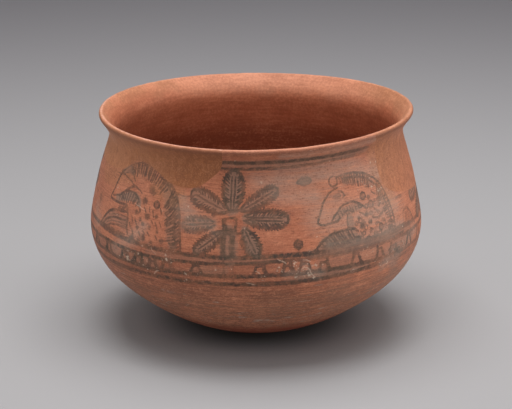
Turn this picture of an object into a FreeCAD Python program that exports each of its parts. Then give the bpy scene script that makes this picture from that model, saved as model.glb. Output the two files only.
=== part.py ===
# Painted earthenware bowl: a round-bottomed vessel with a swelling belly, a drawn-in
# neck and a thin flared lip, with two stretches of its broken rim made good in plaster.
# Millimetres. The origin is the middle of the spot that the bowl rests on, +Z is up
# through the mouth, and -Y is the painted front.
import FreeCAD, Part

import math
import os

from BOPTools import SplitAPI
from FreeCAD import Vector

# The vessel's outside, from the floor up
FOOT_RADIUS = 14.0       # flat spot worn under the round bottom
BELLY_RADIUS = 95.0      # widest part
BELLY_HEIGHT = 62.3      # height of the widest part above the floor
NECK_DRAW_IN = 11.6      # how far the neck lies inside the belly
NECK_RISE = 54.5         # neck above the belly
LIP_FLARE = 5.5          # how far the lip stands out past the neck
LIP_RISE = 11.3          # lip's crown above the neck

# The wall
WALL = 4.8               # over most of the bowl
FLOOR_THICKNESS = 7.0    # at the foot
LIP_THICKNESS = 3.0      # diameter of the rounded lip

# The rim was finished by hand: it stands higher to the right than to the left, and its
# lip dips at a place near the front and again across from it
RIM_TILT = 1.5
RIM_TWIST = 1.0
LIP_DIP = 1.1
LIP_DIP_TURN = 20.0      # degrees from the front to the dip
LIP_TILT = 0.5           # how far the lip itself leans back to the left
LIP_REACH = 6.5          # how far below the neck the lip's own wave starts

# How far the cuts for the restored places run past the wall
CUT_OVERRUN = 6.0

# Slopes of the outline's ends, in degrees
FOOT_SLOPE = 8.0         # underside above the floor, at the foot's edge
LIP_LEAN = 36.0          # wall's lean from upright where it meets the lip

# Underside between foot and belly: (share of the way out, share of the way up)
UNDERSIDE_SHARES = ((0.26, 0.077), (0.505, 0.223), (0.715, 0.407), (0.92, 0.677))
# Shoulder between belly and neck: (share of the draw-in, share of the rise)
SHOULDER_SHARES = ((0.14, 0.24), (0.525, 0.605), (0.91, 0.88))

# Lower edges of the restored places, from one break in the lip to the other, as
# (degrees round from the front towards +X, share of the bowl's height)
LEFT_FILL_SHARES = (
    (-105, 0.99), (-102, 0.90), (-96, 0.83), (-84, 0.81), (-72, 0.81), (-63, 0.815),
    (-56, 0.838), (-51, 0.88), (-45, 0.886), (-39, 0.865), (-33, 0.83), (-27, 0.816),
    (-21, 0.824), (-16, 0.866), (-13, 0.90), (-12, 0.94), (-11.5, 0.99),
)
RIGHT_FILL_SHARES = (
    (46, 0.99), (48.5, 0.955), (50.5, 0.90), (50, 0.83), (51.5, 0.77), (56, 0.728),
    (64, 0.702), (76, 0.68), (90, 0.667), (103, 0.69), (112, 0.75), (116, 0.84),
    (117, 0.92), (117.5, 0.99),
)

STATIONS = 17            # rings up the outside, and as many down the inside
LIP_STATIONS = 3         # rings over the lip between them
RING_POINTS = 24

NECK_RADIUS = BELLY_RADIUS - NECK_DRAW_IN
NECK_HEIGHT = BELLY_HEIGHT + NECK_RISE
LIP_RADIUS = NECK_RADIUS + LIP_FLARE
BOWL_HEIGHT = NECK_HEIGHT + LIP_RISE
LIP_ROUND = LIP_THICKNESS / 2


def upright(radius, height):
    """A point of the outline, in the plane of radius and height."""
    return Vector(radius, 0, height)


def lean_of_wall():
    """Direction of the wall where it meets the lip, and the direction out of it."""
    lean = math.radians(LIP_LEAN)
    along = Vector(math.sin(lean), 0, math.cos(lean))
    outward = Vector(math.cos(lean), 0, -math.sin(lean))
    return along, outward


def lip_centre():
    """Centre of the lip's round section."""
    return upright(LIP_RADIUS - LIP_ROUND, BOWL_HEIGHT - LIP_ROUND)


def outside_curve():
    """The outside of the wall, from the foot's edge up to the lip."""
    along, outward = lean_of_wall()
    reach = BELLY_RADIUS - FOOT_RADIUS
    points = [upright(FOOT_RADIUS, 0)]
    for out, up in UNDERSIDE_SHARES:
        points.append(upright(FOOT_RADIUS + out * reach, up * BELLY_HEIGHT))
    points.append(upright(BELLY_RADIUS, BELLY_HEIGHT))
    for drawn, up in SHOULDER_SHARES:
        radius = BELLY_RADIUS - drawn * NECK_DRAW_IN
        points.append(upright(radius, BELLY_HEIGHT + up * NECK_RISE))
    points.append(upright(NECK_RADIUS, NECK_HEIGHT))
    points.append(lip_centre() + outward * LIP_ROUND)
    slope = math.radians(FOOT_SLOPE)
    curve = Part.BSplineCurve()
    start = Vector(math.cos(slope), 0, math.sin(slope))
    curve.interpolate(Points=points, InitialTangent=start, FinalTangent=along)
    return curve


def thickness_at(share):
    """Wall thickness at a share of the way from the foot to the lip."""
    thicker = (FLOOR_THICKNESS - WALL) * (1 - share) ** 3
    thinner = (WALL - LIP_THICKNESS) * share ** 6
    return WALL + thicker - thinner


def section_points():
    """The wall's section: up the outside, over the lip and down to the inner floor."""
    curve = outside_curve()
    outer = curve.discretize(Number=STATIONS)
    inner = []
    for i, point in enumerate(outer):
        along = curve.tangent(curve.parameter(point))[0]
        inward = Vector(-along.z, 0, along.x)
        inner.append(point + inward * thickness_at(i / (STATIONS - 1)))
    along, outward = lean_of_wall()
    lip = []
    for k in range(1, LIP_STATIONS + 1):
        turn = math.pi * k / (LIP_STATIONS + 1)
        reach = outward * math.cos(turn) + along * math.sin(turn)
        lip.append(lip_centre() + reach * LIP_ROUND)
    return outer + lip + inner[::-1]


def rim_rise(angle, height):
    """How far the hand-finished wall lies above its mean level."""
    wall_share = max(0, (height - BELLY_HEIGHT) / (BOWL_HEIGHT - BELLY_HEIGHT))
    wall_wave = RIM_TILT * math.sin(angle) + RIM_TWIST * math.sin(2 * angle)
    lip_foot = NECK_HEIGHT - LIP_REACH
    lip_share = max(0, (height - lip_foot) / (BOWL_HEIGHT - lip_foot))
    dip = LIP_DIP * math.cos(2 * (angle - math.radians(LIP_DIP_TURN)))
    lip_wave = -dip - LIP_TILT * math.sin(angle)
    return wall_share ** 2 * wall_wave + lip_share ** 2 * lip_wave


def round_point(radius, angle, height):
    """A point at an angle round from the front, towards +X."""
    return Vector(radius * math.sin(angle), -radius * math.cos(angle), height)


def ring(point):
    """The closed line that one point of the section draws round the bowl."""
    points = []
    for k in range(RING_POINTS):
        angle = 2 * math.pi * k / RING_POINTS
        height = point.z + rim_rise(angle, point.z)
        points.append(round_point(point.x, angle, height))
    curve = Part.BSplineCurve()
    curve.interpolate(Points=points, PeriodicFlag=True)
    return Part.Wire(curve.toShape())


def vessel():
    """The whole bowl before it was broken and made good."""
    return Part.makeLoft([ring(point) for point in section_points()], True)


def break_line(shares, radius):
    """The edge of a restored place at one radius, carried up past the lip."""
    top = BOWL_HEIGHT + RIM_TILT + RIM_TWIST + LIP_DIP + LIP_TILT + CUT_OVERRUN
    places = [(math.radians(turn), share * BOWL_HEIGHT) for turn, share in shares]
    points = [round_point(radius, turn, height) for turn, height in places]
    points.insert(0, round_point(radius, places[0][0], top))
    points.append(round_point(radius, places[-1][0], top))
    return Part.makePolygon(points)


def break_face(shares):
    """A cut straight through the wall along the edge of a restored place."""
    inside = break_line(shares, NECK_RADIUS - WALL - CUT_OVERRUN)
    outside = break_line(shares, BELLY_RADIUS + CUT_OVERRUN)
    return Part.makeLoft([inside, outside], False, True)


def angle_of(solid):
    """Where a solid lies round the bowl, from the front towards +X."""
    centre = solid.CenterOfMass
    return math.degrees(math.atan2(centre.x, -centre.y))


def pieces():
    """The fired clay that is left, and the two plaster fills in its rim."""
    cuts = [break_face(LEFT_FILL_SHARES), break_face(RIGHT_FILL_SHARES)]
    parted = SplitAPI.slice(vessel(), cuts, "Split")
    solids = sorted(parted.Solids, key=lambda solid: solid.Volume)
    fills = sorted(solids[:-1], key=angle_of)
    return {"clay_body": solids[-1], "left_fill": fills[0], "right_fill": fills[-1]}


os.makedirs("parts", exist_ok=True)
for name, solid in pieces().items():
    solid.exportStep("parts/" + name + ".step")
    print(name, "volume", round(solid.Volume), "valid", solid.isValid())
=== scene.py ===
# %% [markdown]
# # A painted earthenware bowl
# The real bowl is one piece of red clay: a round-bottomed pot with a drawn-in neck and a
# thin flared lip. It was covered in red slip, and a frieze of animals and plants was
# painted round it in brown. Its rim was broken once, and two stretches of it are filled
# with toned plaster. The frame holds those three pieces at their real size, and this
# lesson gives each one a finer mesh with the painter's lines drawn into it.

# %% Load the frame
import math
import random

import bmesh
import bpy
import numpy as np
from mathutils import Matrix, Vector, kdtree, noise
from mathutils.geometry import delaunay_2d_cdt


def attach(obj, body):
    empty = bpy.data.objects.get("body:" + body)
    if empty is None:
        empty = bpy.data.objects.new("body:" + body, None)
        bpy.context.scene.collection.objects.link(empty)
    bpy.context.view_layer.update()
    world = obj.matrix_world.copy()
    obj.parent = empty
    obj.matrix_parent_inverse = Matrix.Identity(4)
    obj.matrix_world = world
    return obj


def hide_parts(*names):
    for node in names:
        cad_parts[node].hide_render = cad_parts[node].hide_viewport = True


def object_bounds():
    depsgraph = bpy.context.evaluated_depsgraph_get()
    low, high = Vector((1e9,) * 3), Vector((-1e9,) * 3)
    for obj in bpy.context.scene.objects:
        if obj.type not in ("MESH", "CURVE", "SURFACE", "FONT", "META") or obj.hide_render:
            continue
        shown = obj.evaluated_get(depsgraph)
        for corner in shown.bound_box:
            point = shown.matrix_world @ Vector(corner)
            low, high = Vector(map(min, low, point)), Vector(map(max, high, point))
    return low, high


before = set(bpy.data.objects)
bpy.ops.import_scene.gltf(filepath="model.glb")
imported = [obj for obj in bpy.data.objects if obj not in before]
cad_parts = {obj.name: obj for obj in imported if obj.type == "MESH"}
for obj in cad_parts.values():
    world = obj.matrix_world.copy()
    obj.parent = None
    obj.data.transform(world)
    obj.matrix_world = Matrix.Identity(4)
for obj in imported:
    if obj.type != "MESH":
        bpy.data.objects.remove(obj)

CAD_LOW, CAD_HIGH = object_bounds()
MM = 0.001
box = [round(v / MM, 1) for v in CAD_HIGH - CAD_LOW]
print("frame nodes:", sorted(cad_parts), "box in mm:", box)

# %% [markdown]
# ## The wall's outline
# Everything here hangs on one line: the section of the wall, from the foot up the outside, over the lip and
# down the inside. The pot was shaped by hand, so its section is a smooth free curve and no arc of a circle.
# It could be traced from the frame's mesh, but a curve through a few named points can be followed at any
# fineness, so the same points as the frame's are joined by a cubic line.

# %% The wall's outline
FOOT_RADIUS = 14.0 * MM      # flat spot worn under the round bottom
BELLY_RADIUS = 95.0 * MM
BELLY_HEIGHT = 62.3 * MM
NECK_DRAW_IN = 11.6 * MM
NECK_RISE = 54.5 * MM
LIP_FLARE = 5.5 * MM
LIP_RISE = 11.3 * MM
WALL = 4.8 * MM
FLOOR_THICKNESS = 7.0 * MM
LIP_THICKNESS = 3.0 * MM
RIM_TILT = 1.5 * MM          # the rim stands higher to the right than to the left
RIM_TWIST = 1.0 * MM
LIP_DIP = 1.1 * MM           # the lip's own wave: it dips near the front and across from it
LIP_DIP_TURN = math.radians(20)
LIP_TILT = 0.5 * MM
LIP_REACH = 6.5 * MM         # how far below the neck the lip's wave starts
FOOT_SLOPE = math.radians(8)
LIP_LEAN = math.radians(36)
UNDERSIDE_SHARES = ((0.26, 0.077), (0.505, 0.223), (0.715, 0.407), (0.92, 0.677))
SHOULDER_SHARES = ((0.14, 0.24), (0.525, 0.605), (0.91, 0.88))
LINE_STEPS = 60              # points to each stretch of a worked-out line

NECK_RADIUS = BELLY_RADIUS - NECK_DRAW_IN
NECK_HEIGHT = BELLY_HEIGHT + NECK_RISE
LIP_ROUND = LIP_THICKNESS / 2
LIP_RADIUS = NECK_RADIUS + LIP_FLARE
BOWL_HEIGHT = NECK_HEIGHT + LIP_RISE
UP_THE_WALL = np.array([math.sin(LIP_LEAN), math.cos(LIP_LEAN)])
OUT_OF_WALL = np.array([math.cos(LIP_LEAN), -math.sin(LIP_LEAN)])
LIP_CENTRE = np.array([LIP_RADIUS - LIP_ROUND, BOWL_HEIGHT - LIP_ROUND])


def free_curve(points, first, last):
    """A cubic line through the points, with a given direction at each end."""
    points = np.array(points)
    gaps = np.linalg.norm(np.diff(points, axis=0), axis=1)
    sums = np.eye(len(points))
    right = np.zeros_like(points)
    right[0], right[-1] = first, last
    for i in range(1, len(points) - 1):
        before, after = gaps[i - 1], gaps[i]
        sums[i, i - 1:i + 2] = after, 2 * (before + after), before
        rise_before = (points[i] - points[i - 1]) / before
        rise_after = (points[i + 1] - points[i]) / after
        right[i] = 3 * (after * rise_before + before * rise_after)
    slopes = np.linalg.solve(sums, right)
    line = []
    for i, gap in enumerate(gaps):
        t = np.linspace(0, 1, LINE_STEPS, endpoint=False)[:, None]
        near = points[i] * (1 + 2 * t) + slopes[i] * gap * t
        far = points[i + 1] * (3 - 2 * t) - slopes[i + 1] * gap * (1 - t)
        line.append(near * (1 - t) ** 2 + far * t ** 2)
    return np.vstack(line + [points[-1:]])


def run_of(line):
    """Distance along a line at each of its points."""
    return np.concatenate([[0], np.cumsum(np.linalg.norm(np.diff(line, axis=0), axis=1))])


reach = BELLY_RADIUS - FOOT_RADIUS
outline = [(FOOT_RADIUS, 0)]
outline += [(FOOT_RADIUS + out * reach, up * BELLY_HEIGHT) for out, up in UNDERSIDE_SHARES]
outline += [(BELLY_RADIUS, BELLY_HEIGHT)]
outline += [
    (BELLY_RADIUS - drawn * NECK_DRAW_IN, BELLY_HEIGHT + up * NECK_RISE)
    for drawn, up in SHOULDER_SHARES
]
outline += [(NECK_RADIUS, NECK_HEIGHT), LIP_CENTRE + OUT_OF_WALL * LIP_ROUND]
OUTSIDE = free_curve(outline, (math.cos(FOOT_SLOPE), math.sin(FOOT_SLOPE)), UP_THE_WALL)
run = run_of(OUTSIDE)
share = (run / run[-1])[:, None]
thickness = WALL + (FLOOR_THICKNESS - WALL) * (1 - share) ** 3 - (WALL - LIP_THICKNESS) * share ** 6
along = np.gradient(OUTSIDE, run, axis=0)
along /= np.linalg.norm(along, axis=1)[:, None]
INSIDE = OUTSIDE + np.stack([-along[:, 1], along[:, 0]], 1) * thickness
turn = np.linspace(0, math.pi, LINE_STEPS)[1:-1, None]
LIP = LIP_CENTRE + LIP_ROUND * (OUT_OF_WALL * np.cos(turn) + UP_THE_WALL * np.sin(turn))
WALL_LINE = np.vstack([OUTSIDE, LIP, INSIDE[::-1]])
WALL_RUN = run_of(WALL_LINE)
LIP_START = run[-1]
CROWN = LIP_START + math.pi * LIP_ROUND / 2
LIP_END = LIP_START + math.pi * LIP_ROUND
print("wall line: outside", round(LIP_START / MM, 1), "mm, whole", round(WALL_RUN[-1] / MM, 1), "mm")

# %% [markdown]
# ## Laying the wall out flat
# A potter's decoration is easiest to draw on a flat strip that is then wrapped round the
# pot. On the strip, one direction goes round, in millimetres at the frieze, and the other
# goes up along the wall line, from the foot's edge. Two short functions wrap a point of
# the strip onto the pot, and find the place on the strip of a given height.

# %% Wrap the strip round the pot
ROUND_AT = 93.0              # radius in millimetres at which distances round are measured


def rim_rise(angle, height):
    """How far the hand-finished wall lies above its mean level."""
    wall_share = np.maximum(0, (height - BELLY_HEIGHT) / (BOWL_HEIGHT - BELLY_HEIGHT))
    wall_wave = RIM_TILT * np.sin(angle) + RIM_TWIST * np.sin(2 * angle)
    lip_foot = NECK_HEIGHT - LIP_REACH
    lip_share = np.maximum(0, (height - lip_foot) / (BOWL_HEIGHT - lip_foot))
    lip_wave = -LIP_DIP * np.cos(2 * (angle - LIP_DIP_TURN)) - LIP_TILT * np.sin(angle)
    return wall_share ** 2 * wall_wave + lip_share ** 2 * lip_wave


def wrap(across, up):
    """Places on the pot of points on the strip, both in millimetres."""
    angle = np.asarray(across) / ROUND_AT
    radius = np.interp(up, WALL_RUN / MM, WALL_LINE[:, 0])
    height = np.interp(up, WALL_RUN / MM, WALL_LINE[:, 1])
    height = height + rim_rise(angle, height)
    return np.stack([radius * np.sin(angle), -radius * np.cos(angle), height], -1)


def up_outside(height):
    """How far up the strip the outside reaches a height."""
    return np.interp(height, OUTSIDE[:, 1], run) / MM


def up_inside(height):
    """How far up the strip the inside comes down to a height."""
    inside_run = WALL_RUN[-len(INSIDE):][::-1]
    return np.interp(height, INSIDE[:, 1], inside_run) / MM


belly_up = round(float(up_outside(BELLY_HEIGHT)), 1)
print("belly at", belly_up, "mm up the strip, crown at", round(CROWN / MM, 1))

# %% [markdown]
# ## Camera, lights and floor
# The photographer stood a little above the bowl and well back, with a long lens, and lit it from a broad soft
# source overhead. The camera is placed first, so that each later step can be seen as the photograph shows it.
# The floor is a plain grey sweep that falls off in the distance; its colour does that, a painted fall-off of
# the light, so that the lamps can stay at a plain level.

# %% Camera, lights and floor
VIEW_DISTANCE = 1.0
VIEW_HEIGHT = math.radians(17.56)
AIM_HEIGHT = 70.1 * MM
LENS = 122.1                 # on a 36 mm wide sensor

bpy.ops.object.select_all(action="DESELECT")
back_off = VIEW_DISTANCE * math.cos(VIEW_HEIGHT)
eye = (0, -back_off, AIM_HEIGHT + VIEW_DISTANCE * math.sin(VIEW_HEIGHT))
bpy.ops.object.camera_add(location=eye, rotation=(math.radians(90) - VIEW_HEIGHT, 0, 0))
camera = bpy.context.object
camera.name = "camera"
camera.data.lens = LENS
camera.data.sensor_width = 36
bpy.context.scene.camera = camera
bpy.context.scene.view_settings.view_transform = "Standard"


def soft_lamp(name, place, aim, size, power):
    """A square soft box that looks at a point."""
    bpy.ops.object.light_add(type="AREA", location=place)
    lamp = bpy.context.object
    lamp.name = name
    lamp.data.size = size
    lamp.data.energy = power
    lamp.rotation_euler = (Vector(aim) - Vector(place)).to_track_quat("-Z", "Y").to_euler()


soft_lamp("lamp_overhead", (0.015, -0.08, 1.2), (0, 0, 0.05), 0.9, 16.6)
soft_lamp("lamp_front", (0.2, -1.6, 0.3), (0, 0, 0.07), 0.9, 8.0)
soft_lamp("lamp_right", (1.3, -0.1, 0.2), (0, 0, 0.07), 0.6, 8.0)
soft_lamp("lamp_left", (-1.3, -0.03, 0.2), (0, 0, 0.07), 0.6, 3.8)
world = bpy.data.worlds.new("studio")
bpy.context.scene.world = world
world.use_nodes = True
backdrop = world.node_tree.nodes["Background"].inputs
backdrop["Color"].default_value = (1, 1, 1, 1)
backdrop["Strength"].default_value = 0.3

FLOOR_SIZE = 8.0
bpy.ops.mesh.primitive_plane_add(size=FLOOR_SIZE, location=(0, 0, 0))
floor = bpy.context.object
floor.name = "floor"
print("camera at", [round(v, 3) for v in camera.location], "lens", LENS)

# %% [markdown]
# ## Raising the plain parts of the wall
# Such a pot is begun as a pad of clay and raised coil by coil. The mesh is raised the
# same way: a filled disc, whose edge is extruded, lifted and widened ring after ring
# along the wall line. Spinning an outline would also do, but it leaves a seam to merge.
# Only the plain parts are raised here, the underside and the lower inside. The painted
# band between them needs a mesh of its own.

# %% Raise the plain parts
COLUMNS = 256                # vertices in each ring
BAND_FOOT = 90.0             # where the painted band starts up the strip, below its lowest stripe
BAND_END = float(up_inside(BELLY_HEIGHT - 4 * MM))
PLAIN_STEP = 3.0             # spacing of the rings in millimetres


def select_rim(wall):
    """In edit mode, selects the edges that have a face on one side only."""
    mesh = bmesh.from_edit_mesh(wall.data)
    for face in mesh.faces:
        face.select_set(False)
    for edge in mesh.edges:
        edge.select_set(edge.is_boundary)
    mesh.select_flush_mode()
    bmesh.update_edit_mesh(wall.data)


def raise_wall(name, start, end):
    """A wall from one place on the strip to another, raised from a disc."""
    steps = np.linspace(start, end, round(abs(end - start) / PLAIN_STEP) + 1)
    radii = np.interp(steps, WALL_RUN / MM, WALL_LINE[:, 0])
    heights = np.interp(steps, WALL_RUN / MM, WALL_LINE[:, 1])
    bpy.ops.object.select_all(action="DESELECT")
    bpy.ops.mesh.primitive_circle_add(
        vertices=COLUMNS, radius=radii[0], fill_type="TRIFAN", location=(0, 0, heights[0]))
    wall = bpy.context.object
    wall.name = name
    bpy.ops.object.transform_apply(location=True, rotation=True, scale=True)
    bpy.ops.object.mode_set(mode="EDIT")
    bpy.ops.mesh.select_mode(type="EDGE")
    select_rim(wall)
    for i in range(1, len(steps)):
        lift = (0, 0, heights[i] - heights[i - 1])
        bpy.ops.mesh.extrude_edges_move(TRANSFORM_OT_translate={"value": lift})
        widen = radii[i] / radii[i - 1]
        bpy.ops.transform.resize(value=(widen, widen, 1), center_override=(0, 0, heights[i]))
    bpy.ops.object.mode_set(mode="OBJECT")
    return wall


underside = raise_wall("underside", 0, BAND_FOOT)
lower_inside = raise_wall("lower_inside", WALL_RUN[-1] / MM, BAND_END)
print("plain parts:", len(underside.data.vertices), "and", len(lower_inside.data.vertices), "vertices")

# %% [markdown]
# ## The broken edges
# The two places where the rim is missing are bounded by rough lines, from one break in
# the lip down and along and up to the other. Each goes straight through the wall, so the
# same line is needed on the outside and on the inside. The points are those of the frame,
# as degrees from the front and shares of the bowl's height.

# %% The broken edges
LEFT_FILL_SHARES = (
    (-105, 0.99), (-102, 0.90), (-96, 0.83), (-84, 0.81), (-72, 0.81), (-63, 0.815),
    (-56, 0.838), (-51, 0.88), (-45, 0.886), (-39, 0.865), (-33, 0.83), (-27, 0.816),
    (-21, 0.824), (-16, 0.866), (-13, 0.90), (-12, 0.94), (-11.5, 0.99),
)
RIGHT_FILL_SHARES = (
    (46, 0.99), (48.5, 0.955), (50.5, 0.90), (50, 0.83), (51.5, 0.77), (56, 0.728),
    (64, 0.702), (76, 0.68), (90, 0.667), (103, 0.69), (112, 0.75), (116, 0.84),
    (117, 0.92), (117.5, 0.99),
)
CURVE_STEPS = 10             # points to each stretch of a smooth line, before it is spaced
BREAK_STEP = 2.5             # spacing in millimetres of the points along a break
LIP_PARTS = 4                # points from the wall's top to the lip's crown


def spaced(line, step):
    """The same line with its points spaced evenly."""
    run = run_of(line)
    count = max(2, round(run[-1] / step) + 1)
    even = np.linspace(0, run[-1], count)
    return np.stack([np.interp(even, run, line[:, i]) for i in (0, 1)], 1)


def smooth_line(points, step):
    """A smooth line through the points, with its own points every step or so."""
    fixed = np.array(points, float)
    if len(fixed) > 2:
        ends = 2 * fixed[[0, -1]] - fixed[[1, -2]]
        fixed = np.vstack([ends[:1], fixed, ends[1:]])
        t = np.linspace(0, 1, CURVE_STEPS, endpoint=False)[:, None]
        spans = []
        for a, b, c, d in zip(fixed, fixed[1:], fixed[2:], fixed[3:]):
            cubic = (d - a + 3 * (b - c)) * t ** 3 + (2 * a - 5 * b + 4 * c - d) * t ** 2
            spans.append(b + 0.5 * ((c - a) * t + cubic))
        fixed = np.vstack(spans + [fixed[-2:-1]])
    return spaced(fixed, step)


def broken_edge(shares):
    """The outer and the inner line of a break on the strip, point for point."""
    top = OUTSIDE[-1, 1] / BOWL_HEIGHT
    places = [(turn, min(share, top)) for turn, share in shares]
    rough = [(math.radians(turn) * ROUND_AT, share * BOWL_HEIGHT / MM) for turn, share in places]
    line = smooth_line(rough, BREAK_STEP)
    outer = np.stack([line[:, 0], up_outside(line[:, 1] * MM)], 1)
    inner = np.stack([line[:, 0], up_inside(line[:, 1] * MM)], 1)
    outer[[0, -1], 1] = LIP_START / MM
    inner[[0, -1], 1] = LIP_END / MM
    climb = np.linspace(LIP_START, CROWN, LIP_PARTS + 1)[1:] / MM
    drop = np.linspace(LIP_END, CROWN, LIP_PARTS + 1)[1:] / MM
    first, last = line[0, 0], line[-1, 0]

    def over_lip(side, ways):
        before = [(first, way) for way in ways[::-1]]
        after = [(last, way) for way in ways]
        return np.vstack([before, side, after])

    return over_lip(outer, climb), over_lip(inner, drop)


BREAKS = {"left_fill": broken_edge(LEFT_FILL_SHARES), "right_fill": broken_edge(RIGHT_FILL_SHARES)}
for name, (outer, inner) in BREAKS.items():
    print(name, "has", len(outer), "points along its edge")

# %% [markdown]
# ## The painter's brush
# The frieze was drawn with a fine brush in a dark mineral paint, line by line, over the
# red slip. An image could hold it, but a drawn line is a simple thing: a smooth line with
# a width. Each stroke here is a line down its middle and a line along each edge, and all
# three become edges of the mesh. A number that is 1 on the middle line and 0 at the
# edges then says exactly how deep in the paint each spot lies, and the finish turns it
# into a worn painted line at any size.

# %% The painter's brush
FEATHER = 1.5                # how far past its painted width a stroke's edge lines lie
HAND = random.Random(11)     # the small unevenness of the painter's hand
SHAKE = 0.12                 # in millimetres
STEPS = 1.3, 3.2             # least and most spacing of a stroke's points, in millimetres
UNEVEN = 0.12                # share by which a stroke's width comes and goes
RING_POINTS = 9
strokes = []


def brush(points, width, strength, layer="ink", taper=0.25, through=False, shake=SHAKE):
    """Paints a stroke. Its strength may be pairs of a place round the pot and a value."""
    step = min(max(1.6 * width, STEPS[0]), STEPS[1])
    line = smooth_line(points, step)
    count = len(line)
    at = np.linspace(-1, 1, count)
    half = width / 2 * (1 - taper * np.abs(at) ** 4)
    half = half * np.array([1 + HAND.uniform(-UNEVEN, UNEVEN) for _ in line])
    if shake:
        line = line + [(HAND.uniform(-shake, shake), HAND.uniform(-shake, shake)) for _ in line]
    if through:
        line[[0, -1]] = np.array(points, float)[[0, -1]]
        half[[0, -1]] = width / 2
    strokes.append(dict(line=line, half=half, strength=strength, layer=layer, through=through))


def dot(centre, radius, strength, layer="ink"):
    """Paints a filled spot."""
    line, half = np.array([centre], float), np.array([radius])
    strokes.append(dict(line=line, half=half, strength=strength, layer=layer, through=False))


def ring(centre, radius, width, strength):
    """Paints a small open circle."""
    turns = np.linspace(0, 2 * math.pi, RING_POINTS)
    points = [(centre[0] + radius * math.sin(a), centre[1] + radius * math.cos(a)) for a in turns]
    brush(points, width, strength, taper=0, shake=0.05)


def at_share(points, share):
    """The point at a share of the way along a line of straight runs."""
    points = np.array(points, float)
    run = run_of(points)
    return np.array([np.interp(share * run[-1], run, points[:, i]) for i in (0, 1)])


def hairs(outer, inner, count, width, strength, slant=0.0, short=0.0, sag=0.0):
    """Paints short strokes from one line to another. Their middle hangs by the sag."""
    for k in range(count):
        share = (k + 0.5 + HAND.uniform(-0.2, 0.2)) / count
        start = at_share(outer, share)
        end = at_share(inner, min(1, max(0, share + slant)))
        end = start + (end - start) * (1 - short * HAND.random())
        brush([start, (start + end) / 2 + (HAND.uniform(-0.3, 0.3), -sag), end], width, strength)


def paint(figure, shifts):
    """Paints a figure once for each shift, that much further round the pot."""
    for shift in shifts:
        first = len(strokes)
        figure()
        for stroke in strokes[first:]:
            stroke["line"] = stroke["line"] + (shift, 0)


# %% [markdown]
# ## The stripes and the row of trestles
# Two stripes run round under the lip and four round the belly. Between the middle two
# stands a row of small open trestles. A stripe is a stroke that runs all the way round,
# from the strip's one end to the other, at the heights that the hand gave it. The back of
# the bowl isn't in the photograph, so the same frieze simply goes on round it.

# %% The stripes and the row of trestles
SEAM_COLUMN = -118           # the strip is cut here, between a plant and an animal at the back
GIRTH = 2 * math.pi * ROUND_AT
COLUMN = GIRTH / COLUMNS
STRIP_LEFT = SEAM_COLUMN * COLUMN
STRIP_RIGHT = STRIP_LEFT + GIRTH
LADDER_TOP = ((-120, 111.7), (-100, 112), (-60, 112), (-40, 112.7), (-20, 113.5), (0, 114.5),
              (20, 115.6), (75, 115.8), (120, 114.5))
LADDER_FOOT = ((-120, 105.2), (-95, 105), (-60, 105.2), (-40, 106.3), (-10, 107), (5, 107.5),
               (20, 108), (60, 108), (80, 107.3), (120, 106.5))
TRESTLES = (-95, -79.5, -69, -58, -48, -32, 2, 17, 25, 37, 56, 73.5, 85)
TRESTLE_GAP = 17.3
CLEAR_OF_SEAM = 1.6 * TRESTLE_GAP    # no trestle may lie across the strip's ends


def round_the_pot(points, back):
    """A line through the points that goes on round the back at a level."""
    return [(STRIP_LEFT, back), (STRIP_LEFT + 60, back + 0.5), *points,
            (STRIP_RIGHT - 90, back - 0.5), (STRIP_RIGHT, back)]


def stripe(points, back, width, strength):
    """Paints a stripe all round the pot."""
    brush(round_the_pot(points, back), width, strength, taper=0, through=True)


def level(points, across):
    """A stripe's height at a place round the pot."""
    return float(np.interp(across, [p[0] for p in points], [p[1] for p in points]))


def trestle(across, foot, top):
    """Paints one open trestle between two stripes."""
    bold = 1.5 if across < -60 else 1.15
    lean = HAND.uniform(-0.8, 0.8)
    half_top, half_foot = HAND.uniform(1.4, 2.1), HAND.uniform(3.4, 4.6)
    bar = foot + HAND.uniform(0.62, 0.8) * (top - foot)
    for side in (-1, 1):
        legs = [(across + side * half_foot, foot),
                (across + side * 0.62 * half_foot + lean, (foot + bar) / 2),
                (across + side * half_top + lean, bar)]
        if HAND.random() < 0.6:
            legs.append((across + side * 0.9 * half_top + lean, top))
        brush(legs, bold * HAND.uniform(1.5, 2.2), bold * HAND.uniform(0.6, 0.8))
    middle = across + lean
    brush([(middle - half_top, bar), (middle + half_top, bar + 0.2)], 1.6, HAND.uniform(0.5, 0.9))


stripe(((-120, 168.2), (-20, 168.2), (20, 168.1), (78, 168.4)), 168, 2.5,
       ((-20, 0.9), (50, 0.9), (70, 0.6), (80, 0.1), (125, 0.1), (140, 0.9)))
stripe(((-120, 164.6), (-20, 164.2), (20, 164.3), (78, 165.4)), 164.4, 1.9,
       ((-20, 0.9), (8, 0.85), (30, 0.65), (60, 0.6), (76, 0.1), (125, 0.1), (140, 0.8)))
brush([(-19, 167.6), (20, 167.5), (72, 168)], 5.5, 0.6, "wash")
stripe(((-120, 118.4), (-80, 117.2), (-20, 117), (0, 117.9), (30, 118.4), (60, 119), (120, 119.2)), 118, 2.5,
       ((-120, 0.8), (-30, 0.9), (-15, 1.0), (28, 1.0), (42, 0.55), (110, 0.5), (150, 0.9)))
stripe(LADDER_TOP, 113.5, 2.0, ((-110, 0.95), (-50, 0.95), (-30, 0.95), (-8, 0.85), (4, 0.95), (14, 0.9),
                                (25, 0.6), (100, 0.65), (150, 0.9)))
stripe(LADDER_FOOT, 106, 2.3, ((-110, 0.8), (-60, 0.85), (-45, 0.95), (-24, 0.8), (-8, 1.0), (22, 0.8),
                               (40, 1.0), (60, 0.9), (75, 0.65), (110, 0.5), (150, 0.9)))
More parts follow.
